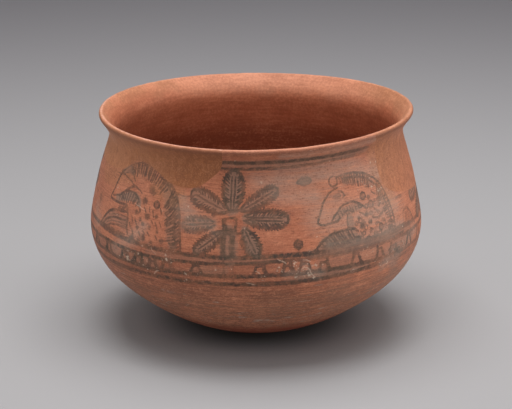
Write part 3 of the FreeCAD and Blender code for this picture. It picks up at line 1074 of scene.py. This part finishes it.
# %% Make the meshes
MAP_NAME = "OFBake"
MAP_PIXELS = 1024
BREAK_MAP_SCALE = 1.0        # map pixels to a millimetre
BREAK_MAP_CORNER = 880, 612  # where the breaks lie on the map, side by side
BREAK_MAP_GAP = 40
MERGED_WITHIN = 0.01 * MM
SHARP_FROM = math.radians(50)


def new_piece(name, owner, breaks):
    """A piece of the band, with its layers as point attributes."""
    faces = [tuple(map(int, face)) for face in TRIANGLES[OWNER == owner]]
    sides = [OUTSIDE_FACE if up < CROWN / MM else INSIDE_FACE for up in CENTRES[OWNER == owner, 1]]
    corner_map = [(0.0, 0.0)] * (3 * len(faces))
    for number, corners in enumerate(breaks):
        for triangle in corners:
            faces.append(tuple(int(corner[0]) for corner in triangle))
            sides.append(BREAK_FACE)
            for _, far, deep in triangle:
                out = BREAK_MAP_CORNER[0] + BREAK_MAP_GAP * number + deep * WALL / MM * BREAK_MAP_SCALE
                down = BREAK_MAP_CORNER[1] + far * BREAK_STEP * BREAK_MAP_SCALE
                corner_map.append((out / MAP_PIXELS, down / MAP_PIXELS))
    used = sorted({corner for face in faces for corner in face})
    new_number = {old: new for new, old in enumerate(used)}
    mesh = bpy.data.meshes.new(name)
    faces = [[new_number[i] for i in face] for face in faces]
    mesh.from_pydata([WRAPPED[i] for i in used], [], faces)
    for layer, values in LAYERS.items():
        attribute = mesh.attributes.new(layer, "FLOAT", "POINT")
        attribute.data.foreach_set("value", values[used].astype(np.float32))
    mesh.attributes.new("side", "INT", "FACE").data.foreach_set("value", sides)
    flat = mesh.uv_layers.new(name=MAP_NAME)
    flat.data.foreach_set("uv", np.array(corner_map, np.float32).ravel())
    piece = bpy.data.objects.new(name, mesh)
    bpy.context.collection.objects.link(piece)
    return piece


def merge_and_close(piece, others=()):
    """Joins other parts to a piece, merges shared points and turns all faces outwards."""
    bpy.ops.object.select_all(action="DESELECT")
    for part in (*others, piece):
        part.select_set(True)
    bpy.context.view_layer.objects.active = piece
    if others:
        bpy.ops.object.join()
    bpy.ops.object.mode_set(mode="EDIT")
    bpy.ops.mesh.select_all(action="SELECT")
    bpy.ops.mesh.remove_doubles(threshold=MERGED_WITHIN)
    bpy.ops.mesh.normals_make_consistent(inside=False)
    bpy.ops.object.mode_set(mode="OBJECT")
    bpy.ops.object.shade_smooth_by_angle(angle=SHARP_FROM)
    sides_met = np.zeros(len(piece.data.edges), int)
    for polygon in piece.data.polygons:
        sides_met[[piece.data.loops[i].edge_index for i in polygon.loop_indices]] += 1
    print(piece.name, len(piece.data.polygons), "faces,", int((sides_met != 2).sum()), "open edges")


def shape_plain(wall, side):
    """Gives a plain part the hand's hollows, and marks its faces."""
    for vertex in wall.data.vertices:
        vertex.co = by_hand(tuple(vertex.co), 0)
    count = len(wall.data.polygons)
    wall.data.attributes.new("side", "INT", "FACE").data.foreach_set("value", [side] * count)
    inside = [float(side == INSIDE_FACE)] * len(wall.data.vertices)
    wall.data.attributes.new("inside", "FLOAT", "POINT").data.foreach_set("value", inside)
    while wall.data.uv_layers:
        wall.data.uv_layers.remove(wall.data.uv_layers[0])
    wall.data.uv_layers.new(name=MAP_NAME)


shape_plain(underside, OUTSIDE_FACE)
shape_plain(lower_inside, INSIDE_FACE)
clay = new_piece("painted_clay_wall", 0, break_sides.values())
left = new_piece("left_plaster_fill", 1, [break_sides["left_fill"]])
right = new_piece("right_plaster_fill", 2, [break_sides["right_fill"]])
merge_and_close(clay, [underside, lower_inside])
merge_and_close(left)
merge_and_close(right)

# %% [markdown]
# ## A flat map for the finish
# A finish that is kept as a picture needs the surface laid flat. The painted band takes
# the largest share of the map, as four strips, because the lines on it are a millimetre
# wide. The underside and the inside have no drawing and are laid out as two round mats.

# %% Lay out the map
BAND_MAP_SCALE = 3.25        # map pixels to a millimetre, and so on
UNDERSIDE_MAP_SCALE = 1.95
INSIDE_MAP_SCALE = 1.1
STRIPS = 4
MAP_MARGIN = 18, 8
STRIP_GAP = 14               # map pixels between the lower and the upper strips
MAT_CENTRES = ((212, 816), (640, 816))


def lay_out_map(piece):
    """Writes the map of the faces outside and inside, seen from the strip."""
    mesh = piece.data
    count = len(mesh.loops)
    corner_vertex, corner_map = np.empty(count, int), np.empty(2 * count, np.float32)
    mesh.loops.foreach_get("vertex_index", corner_vertex)
    mesh.uv_layers[MAP_NAME].data.foreach_get("uv", corner_map)
    corner_map = corner_map.reshape(-1, 2)
    places = np.array([vertex.co for vertex in mesh.vertices])
    totals = np.array([polygon.loop_total for polygon in mesh.polygons])
    face_of = np.repeat(np.arange(len(totals)), totals)
    sides = np.array([item.value for item in mesh.attributes["side"].data])[face_of]
    place = places[corner_vertex]
    angle = np.arctan2(place[:, 0], -place[:, 1])
    height = place[:, 2] - rim_rise(angle, place[:, 2])
    middle = np.zeros((len(totals), 3))
    np.add.at(middle, face_of, place)
    middle /= totals[:, None]
    middle_turn = np.arctan2(middle[:, 0], -middle[:, 1])[face_of]
    middle_turn = STRIP_LEFT + (middle_turn * ROUND_AT - STRIP_LEFT) % GIRTH
    across = angle * ROUND_AT
    across += GIRTH * np.round((middle_turn - across) / GIRTH)
    radius = np.hypot(place[:, 0], place[:, 1])
    outer_run, inner_run = up_outside(height), up_inside(height)
    over = height > OUTSIDE[-1, 1]
    from_lip = np.stack([radius, height], 1) - LIP_CENTRE
    lip_turn = np.arctan2(from_lip @ UP_THE_WALL, from_lip @ OUT_OF_WALL)
    lip_run = (LIP_START + LIP_ROUND * np.clip(lip_turn, 0, math.pi)) / MM
    outer_run, inner_run = np.where(over, lip_run, outer_run), np.where(over, lip_run, inner_run)
    foot = radius < FOOT_RADIUS
    outer_run = np.where(foot, (radius - FOOT_RADIUS) / MM, outer_run)
    floor_radius = INSIDE[0, 0]
    inner_run = np.where(radius < floor_radius, (WALL_RUN[-1] + floor_radius - radius) / MM, inner_run)

    face_run = np.zeros(len(totals))
    np.add.at(face_run, face_of, outer_run)
    face_run = (face_run / totals)[face_of]
    strip = np.clip((middle_turn - STRIP_LEFT) // (GIRTH / STRIPS), 0, STRIPS - 1)
    column, row = strip % 2, strip // 2
    band_high = (CROWN / MM - BAND_FOOT) * BAND_MAP_SCALE
    along_strip = across - STRIP_LEFT - strip * GIRTH / STRIPS
    x = MAP_MARGIN[0] + column * MAP_PIXELS / 2 + along_strip * BAND_MAP_SCALE
    y = MAP_MARGIN[1] + row * (band_high + STRIP_GAP) + (outer_run - BAND_FOOT) * BAND_MAP_SCALE
    on_band = (sides == OUTSIDE_FACE) & (face_run > BAND_FOOT)
    corner_map[on_band] = np.stack([x, y], 1)[on_band] / MAP_PIXELS

    far_out = (outer_run + FOOT_RADIUS / MM) * UNDERSIDE_MAP_SCALE
    far_in = (WALL_RUN[-1] + floor_radius) / MM - inner_run
    for mask, far, centre in (((sides == OUTSIDE_FACE) & ~on_band, far_out, MAT_CENTRES[0]),
                              (sides == INSIDE_FACE, far_in * INSIDE_MAP_SCALE, MAT_CENTRES[1])):
        mat = np.stack([centre[0] + far * np.sin(angle), centre[1] + far * np.cos(angle)], 1)
        corner_map[mask] = mat[mask] / MAP_PIXELS
    mesh.uv_layers[MAP_NAME].data.foreach_set("uv", corner_map.astype(np.float32).ravel())
    print(piece.name, "map from", corner_map.min(0).round(3), "to", corner_map.max(0).round(3))


lay_out_map(clay)
# The two fills have no drawing on them, so they go without a map of their own
for piece in (left, right):
    piece.data.uv_layers.remove(piece.data.uv_layers[MAP_NAME])

# %% [markdown]
# ## Writing finishes as sums
# A finish is a recipe of patterns added, multiplied and blended. Wiring each node by hand
# hides the recipe, so a small class lets a pattern be used in plain sums, each of which
# adds its Math node, and one method adds any other node.

# %% A small kit for finishes
class Pattern:
    """A number that varies over a surface, and can be used in sums."""

    def __init__(self, finish, socket):
        self.finish = finish
        self.socket = socket

    def sum(self, operation, first, second):
        return self.finish.node("ShaderNodeMath", {"operation": operation}, {0: first, 1: second})

    def __add__(self, other):
        return self.sum("ADD", self, other)

    def __sub__(self, other):
        return self.sum("SUBTRACT", self, other)

    def __mul__(self, other):
        return self.sum("MULTIPLY", self, other)

    def __rsub__(self, other):
        return self.sum("SUBTRACT", other, self)

    __radd__ = __add__

    def ramp(self, low, high, start=0.0, end=1.0):
        """This number eased from start to end as it goes from low to high."""
        settings = {"interpolation_type": "SMOOTHSTEP"}
        sockets = {0: self, 1: low, 2: high, 3: start, 4: end}
        return self.finish.node("ShaderNodeMapRange", settings, sockets)


class Finish:
    """A material, built up from patterns on the object's own coordinates."""

    def __init__(self, name):
        self.material = bpy.data.materials.new(name)
        self.material.use_nodes = True
        self.tree = self.material.node_tree
        self.shader = self.tree.nodes["Principled BSDF"]
        self.place = self.node("ShaderNodeTexCoord", {}, {}, "Object")
        self.colour = None

    def node(self, kind, settings, sockets, output=0):
        """Adds a node with its settings, its sockets' values or links, and returns one output."""
        made = self.tree.nodes.new(kind)
        for name, value in settings.items():
            setattr(made, name, value)
        for name, value in sockets.items():
            if isinstance(value, Pattern):
                self.tree.links.new(value.socket, made.inputs[name])
            else:
                made.inputs[name].default_value = value
        return Pattern(self, made.outputs[output])

    def mottle(self, size, detail, roughness=0.5, stretch=(1, 1, 1), shift=0.0):
        """Cloudy noise with patches of a size in millimetres, drawn out by stretch."""
        scale = tuple(1 / (size * MM * s) for s in stretch)
        sockets = {"Vector": self.place, "Scale": scale, "Location": (shift, shift, shift)}
        place = self.node("ShaderNodeMapping", {}, sockets)
        sockets = {"Vector": place, "Scale": 1.0, "Detail": detail, "Roughness": roughness}
        return self.node("ShaderNodeTexNoise", {}, sockets)

    def along(self, axis):
        """How far across (0), back (1) or up (2) a place lies, in metres."""
        return self.node("ShaderNodeSeparateXYZ", {}, {0: self.place}, axis)

    def layer(self, name):
        """A layer painted on the mesh."""
        return self.node("ShaderNodeAttribute", {"attribute_name": name}, {}, "Fac")

    def blend(self, share, first, second):
        """One colour passing into another."""
        return self.node("ShaderNodeMix", {"data_type": "RGBA"}, {0: share, 6: first, 7: second}, 2)

    def coat(self, share, colour):
        """Lays another colour over the finish's own, as far as the share says."""
        self.colour = self.blend(share, self.colour, colour)

    def set(self, **values):
        """Sets or links the shader's own sockets, named with _ for each space."""
        for name, value in values.items():
            socket = self.shader.inputs[name.replace("_", " ")]
            if isinstance(value, Pattern):
                self.tree.links.new(value.socket, socket)
            else:
                socket.default_value = value


def tint(red, green, blue):
    """A colour from its screen values."""
    def linear(value):
        value /= 255
        return value / 12.92 if value <= 0.04045 else ((value + 0.055) / 1.055) ** 2.4
    return (linear(red), linear(green), linear(blue), 1.0)


# %% [markdown]
# ## The slipped and painted clay
# The slip is a thin coat of fine red clay, wiped on with a cloth as the pot turned, so it is streaked along
# the wall. It burnt unevenly in patches, it is brighter on the shoulder and duller towards the bottom, and it
# is worn and scuffed. Painted shade darkens the wall under the lip and the inside deep in the bowl, and
# painted light makes the inner flare paler. The paint has sunk in and rubbed off in patches. The layers
# painted on the mesh say where it is, and fine noise frays their edges.

# %% The slipped and painted clay
SLIP_BRIGHT = tint(184, 116, 86)
SLIP_DEEP = tint(160, 92, 66)
SLIP_DULL = tint(136, 87, 65)
SLIP_DARK = tint(118, 72, 54)
SLIP_LIGHT = tint(210, 142, 108)
SLIP_SOILED = tint(124, 98, 78)
FOOT_RED = tint(140, 62, 42)
FLARE_PAINTED_LIGHT = tint(198, 132, 102)
FLARE_BROWN = tint(179, 122, 88)
INSIDE_RED = tint(181, 105, 74)
INSIDE_DARK = tint(116, 58, 38)
# the lip's pale crown: worn clay and a painted highlight
LIP_WORN_AND_HIGHLIGHT = tint(198, 144, 122)
PLASTER_TONE = tint(166, 109, 74)
HAZE_GREY = tint(166, 143, 127)
WASH_BROWN = tint(107, 101, 90)
INK_BROWN = tint(62, 50, 43)
INK_OLIVE = tint(63, 57, 43)
INK_GREY = tint(92, 87, 78)
SCALE_PALE = tint(204, 177, 155)
DULL_FROM, DULL_TO = 66 * MM, 42 * MM
DUSTY_FROM, DUSTY_TO = 25 * MM, 85 * MM
# heights of the painted light on the flare and of the painted shade deep in the bowl
FLARE_FROM, FLARE_TO = 112 * MM, 122.5 * MM
INSIDE_SHADE_FROM, INSIDE_SHADE_TO = 104 * MM, 86 * MM
LOWEST_FROM, LOWEST_TO = 40 * MM, 16 * MM
FOOT_FROM, FOOT_TO = 23 * MM, 13 * MM


def inside_slip(finish):
    """The slip inside: red, darkened deep in the bowl as painted shade, paled on the flare as painted light,
    browner to the sides.
    """
    cloud = finish.mottle(13, 4, 0.6, shift=21.0)
    wiped = finish.mottle(6, 4, 0.65, (2.6, 2.6, 0.3), shift=23.0)
    fleck = finish.mottle(1.5, 3, 0.7, shift=25.0)
    height = finish.along(2)
    across = finish.along(0)
    to_left = across.ramp(-20 * MM, -80 * MM)
    to_right = across.ramp(45 * MM, 85 * MM)
    deeper = (cloud - 0.5) * (12 * MM) - to_left * (7 * MM) - to_right * (5 * MM)
    # painted light: the flare, which faces up to the lamps, is made paler
    flare = (height + deeper).ramp(FLARE_FROM, FLARE_TO)
    browner = (to_left * 0.6 + to_right * 0.8 + (cloud - 0.5) * 1.2).ramp(0.0, 0.9)
    pale = finish.blend(browner * 0.8, FLARE_PAINTED_LIGHT, FLARE_BROWN)
    colour = finish.blend(flare, finish.blend(to_left * 0.2, INSIDE_RED, SLIP_DULL), pale)
    # painted shade: darker down in the bowl
    colour = finish.blend(height.ramp(INSIDE_SHADE_FROM, INSIDE_SHADE_TO) * 0.75, colour, INSIDE_DARK)
    tone = (cloud - 0.5) * 0.9 + (wiped - 0.5) * 1.2 + (fleck - 0.5) * 1.6
    colour = finish.blend(tone.ramp(-0.4, 0.6) * 0.45, colour, INSIDE_DARK)
    return finish.blend(tone.ramp(0.1, -0.7) * 0.4, colour, SLIP_LIGHT)


def inside_and_lip(finish, patches, share):
    """Lays the inside's slip over a finish, with its painted light and shade, and over that the lip's worn
    edge with its painted highlight.
    """
    finish.coat(finish.layer("inside"), inside_slip(finish))
    # the lip's pale crown: partly real wear, partly a painted highlight
    worn = (finish.layer("lip") + (patches - 0.5) * 2.2).ramp(0.2, 1.3)
    finish.coat(worn * share, LIP_WORN_AND_HIGHLIGHT)


slip = Finish("painted_slip")
broad = slip.mottle(60, 3)
patchy = slip.mottle(17, 4, 0.6, shift=3.0)
wiped = slip.mottle(9, 4, 0.65, (3.2, 3.2, 0.16), shift=7.0)
fine_wiped = slip.mottle(5, 3, 0.6, (4.0, 4.0, 0.08), shift=11.0)
grain = slip.mottle(0.8, 3, 0.7, shift=5.0)
long_grain = slip.mottle(1.0, 3, 0.7, (2.6, 2.6, 0.6), shift=13.0)
fray = slip.mottle(0.8, 3, 0.65, shift=1.0)
rubbed = slip.mottle(6, 4, 0.7, shift=9.0)
blotches = slip.mottle(2.6, 2, 0.6, shift=17.0)
scuffed = slip.mottle(6, 4, 0.7, (3.5, 3.5, 0.25), shift=19.0)
height = slip.along(2)
low = height.ramp(DULL_FROM, DULL_TO)
lowest = height.ramp(LOWEST_FROM, LOWEST_TO)

# The slip: unevenly burnt, wiped in streaks, with painted shade under the lip, and darker below the band
depth_of_colour = broad * 0.8 + patchy * 0.7 + wiped * 0.7 - 0.6
slip.colour = slip.blend(depth_of_colour.ramp(0.25, 0.8), SLIP_BRIGHT, SLIP_DEEP)
dull = (low * 0.75 + (patchy - 0.5) * 0.7 + (wiped + fine_wiped - 1.0) * 0.8).ramp(0.15, 0.9)
slip.coat(dull * 0.85, SLIP_DULL)
soil = (patchy - 0.5) * 0.9 + (wiped - 0.5) * 1.4 + (fine_wiped - 0.5) * 1.2 + 0.35
slip.coat(soil.ramp(0.1, 0.8) * low * 0.55, SLIP_SOILED)
slip.coat((fine_wiped + wiped * 0.6).ramp(0.8, 1.0) * 0.35, SLIP_DARK)
# painted shade under the lip
slip.coat(slip.layer("painted_lip_shade") * 0.45, SLIP_DARK)
deep = slip.layer("deep") * slip.layer("deep_strength")
slip.coat(deep.ramp(0.0, 0.5) * 0.35, SLIP_DARK)
toned = (slip.layer("toned") + (patchy + rubbed - 1.0) * 0.8).ramp(0.05, 0.6)
slip.coat(toned * slip.layer("toned_strength") * 0.55, PLASTER_TONE)
haze = slip.layer("haze") * slip.layer("haze_strength")
haze = (haze + (patchy + wiped - 1.0) * 0.9).ramp(0.0, 1.0)
slip.coat(haze * 0.6, HAZE_GREY)
tone = (grain - 0.5) * 1.6 + (long_grain - 0.5) * 1.8 + (fine_wiped - 0.5) * 0.7
tone = tone + (rubbed - 0.5) * 0.6 + (blotches - 0.5) * 0.4
tone = tone * (low * 0.2 + lowest * 1.7 + 1.0)
tone = tone + (fine_wiped - 0.5) * low * 0.8 + (scuffed - 0.5) * (low + lowest * 2.0)
slip.coat(tone.ramp(0.0, 0.6) * 0.85, SLIP_DARK)
slip.coat((0.0 - tone).ramp(0.0, 0.6) * 0.5, SLIP_LIGHT)

# The paint: thin washes and dark lines, frayed and worn
wash = (slip.layer("wash") + (fray + rubbed - 1.0) * 0.9).ramp(0.1, 0.6)
slip.coat(wash * slip.layer("wash_strength") * 0.55, WASH_BROWN)
ink = (slip.layer("ink") + (fray - 0.5) * 0.9).ramp(0.06, 0.5)
worn = (rubbed + fray * 0.5 + patchy * 0.8).ramp(1.05, 1.5, 1.0, 0.3)
worn = worn * blotches.ramp(0.36, 0.56, 0.75, 1.05)
ink = ink * worn * slip.layer("ink_strength")
ink_colour = slip.blend((rubbed + patchy - 1.0).ramp(-0.15, 0.15), INK_BROWN, INK_OLIVE)
slip.coat(ink * 0.92, slip.blend(haze, ink_colour, INK_GREY))

# What came later: dust, dirt, flecks and scale, and the red foot
scale = (slip.layer("scale") + (fray + rubbed - 1.0) * 1.6).ramp(0.3, 0.8)
scale = scale * slip.layer("scale_strength")
crust = slip.layer("crust") * slip.layer("crust_strength")
flecks = (crust * 0.2 + fray * 0.5 + long_grain * 0.6 + rubbed * 0.5).ramp(1.06, 1.2)
dirt = (crust * 0.3 + grain * 0.6 + rubbed * 0.6).ramp(0.85, 1.05) * crust
foot_band = height.ramp(18 * MM, 23 * MM) * height.ramp(46 * MM, 32 * MM)
dashes = (long_grain * 0.5 + scuffed * 0.9 + rubbed * 0.4 + foot_band * 0.06).ramp(1.04, 1.12)
to_right = slip.along(0).ramp(DUSTY_FROM, DUSTY_TO)
slip.coat(to_right * low * (patchy + wiped * 0.5).ramp(0.5, 1.0) * 0.3, HAZE_GREY)
slip.coat(dirt * 0.5, SLIP_DARK)
slip.coat(flecks * 0.65, SCALE_PALE)
slip.coat(dashes * low * 0.85, HAZE_GREY)
burnt = (patchy * 0.6 + wiped + broad * 0.5).ramp(1.05, 1.35)
slip.coat(burnt * low * 0.4, SLIP_DARK)
foot = (height + (rubbed - 0.5) * (16 * MM)).ramp(FOOT_FROM, FOOT_TO)
slip.coat(foot * wiped.ramp(0.3, 0.55) * 0.9, FOOT_RED)
slip.coat(scale * 0.75, SCALE_PALE)
# the inside with its painted light and shade, and the lip's worn edge with its painted highlight
inside_and_lip(slip, blotches, 0.38)

relief = wiped * 0.4 + fine_wiped * 0.35 + grain * 0.5 + long_grain * 0.4
relief = relief + scale * 1.2 + flecks * 0.8 + patchy * 0.5
bump = slip.node("ShaderNodeBump", {}, {"Strength": 0.5, "Distance": 0.25 * MM, "Height": relief})
slip.set(Base_Color=slip.colour, Roughness=0.6 + (patchy - 0.5) * 0.25 + scale * 0.2, Normal=bump,
         Specular_IOR_Level=0.25)
clay.data.materials.append(slip.material)

# %% [markdown]
# ## The plaster fills
# Plaster is smooth and even where clay is streaked. The restorer toned the left one olive
# brown, and the right one orange brown to match the slip. The same recipe serves both,
# with other colours.

# %% The plaster fills
def plaster(name, left_end, right_end, stain, reach, unevenness, worn, shift):
    """Toned plaster: one colour passing into another round the pot, stains and fine grain."""
    fill = Finish(name)
    cloud = fill.mottle(20, 3, 0.5, shift=shift)
    brushed = fill.mottle(5, 4, 0.65, (1.8, 1.8, 0.5), shift=shift + 4)
    spots = fill.mottle(3, 3, 0.65, shift=shift + 6)
    fine = fill.mottle(0.8, 3, 0.7, shift=shift + 8)
    dabs = fill.mottle(2.2, 3, 0.6, (1.0, 1.0, 2.4), shift=shift + 10)
    passing = (fill.along(0) + (cloud - 0.5) * (20 * MM)).ramp(*reach)
    fill.colour = fill.blend(passing, left_end, right_end)
    fill.coat((cloud * 0.7 + spots * 0.8).ramp(0.72, 1.0) * 0.5, stain)
    tone = (brushed - 0.5) * 0.4 + (spots - 0.5) * 0.3 + (fine - 0.5) * 2.4 + (dabs - 0.5) * 1.4
    tone = tone * unevenness
    fill.coat(tone.ramp(-0.1, 0.7) * 0.55, SLIP_DARK)
    fill.coat(tone.ramp(0.1, -0.7) * 0.35, SLIP_LIGHT)
    # painted shade under the lip, as on the clay
    fill.coat(fill.layer("painted_lip_shade") * 0.45, SLIP_DARK)
    # the inside with its painted light and shade, and the lip's worn edge with its painted highlight
    inside_and_lip(fill, spots, worn)
    relief = brushed * 0.5 + fine * 0.4
    bump = fill.node("ShaderNodeBump", {}, {"Strength": 0.3, "Distance": 0.2 * MM, "Height": relief})
    fill.set(Base_Color=fill.colour, Roughness=0.62 + (cloud - 0.5) * 0.15, Normal=bump,
             Specular_IOR_Level=0.2)
    return fill.material


olive = plaster("olive_brown_plaster", tint(180, 120, 84), tint(141, 88, 57), tint(165, 101, 60),
                (-88 * MM, -30 * MM), 1.0, 0.95, 2.0)
orange = plaster("orange_brown_plaster", tint(160, 105, 74), tint(170, 106, 76), tint(180, 114, 74),
                 (62 * MM, 88 * MM), 1.5, 0.3, 6.0)
left.data.materials.append(olive)
right.data.materials.append(orange)

# %% [markdown]
# ## The floor
# The floor is one plain grey sheet whose colour falls off to a darker grey far from the bowl, a painted
# fall-off of the light. The spot under the bowl is darkened a little in colour, a painted shadow, because so
# round a bowl shades its own stand.

# %% The floor
# the floor's greys, near and far: a painted fall-off of the light away from the bowl
FLOOR_NEAR = tint(159, 157, 158)
FLOOR_FAR = tint(132, 129, 133)
FLOOR_END = tint(72, 71, 73)
# painted shadow: the floor's colour round the bowl's stand
FLOOR_PAINTED_SHADOW = tint(54, 49, 47)
STAND = (2 * MM, 7 * MM, 0)  # the floor is darker round the spot where the bowl stands
STAND_REACH = 78 * MM
FADE_FROM, FADE_TO = 0.1, 1.25         # metres from the bowl
END_FROM, END_TO = 1.05, 1.7
sweep = Finish("grey_sweep")
between = {0: sweep.place, 1: STAND}
from_bowl = sweep.node("ShaderNodeVectorMath", {"operation": "DISTANCE"}, between, "Value")
# painted fall-off of the light: the floor's colour darkens far from the bowl
sweep.colour = sweep.blend(from_bowl.ramp(FADE_FROM, FADE_TO), FLOOR_NEAR, FLOOR_FAR)
sweep.coat(from_bowl.ramp(END_FROM, END_TO), FLOOR_END)
# painted shadow under the bowl
sweep.coat(from_bowl.ramp(STAND_REACH, 0.4 * STAND_REACH) * 0.95, FLOOR_PAINTED_SHADOW)
sweep.set(Base_Color=sweep.colour, Roughness=0.9, Specular_IOR_Level=0.1)
floor.data.materials.append(sweep.material)

# %% [markdown]
# ## Handing the pieces over
# Each piece stands for one node of the frame: it is attached to the frame's root body, and the frame's own
# mesh of that node is hidden.

# %% Hand the pieces over
for piece, node, slot in ((clay, "clay_body", "painted_clay"), (left, "left_fill", "brown_fill"),
                          (right, "right_fill", "orange_fill")):
    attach(piece, "root")
    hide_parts(node)
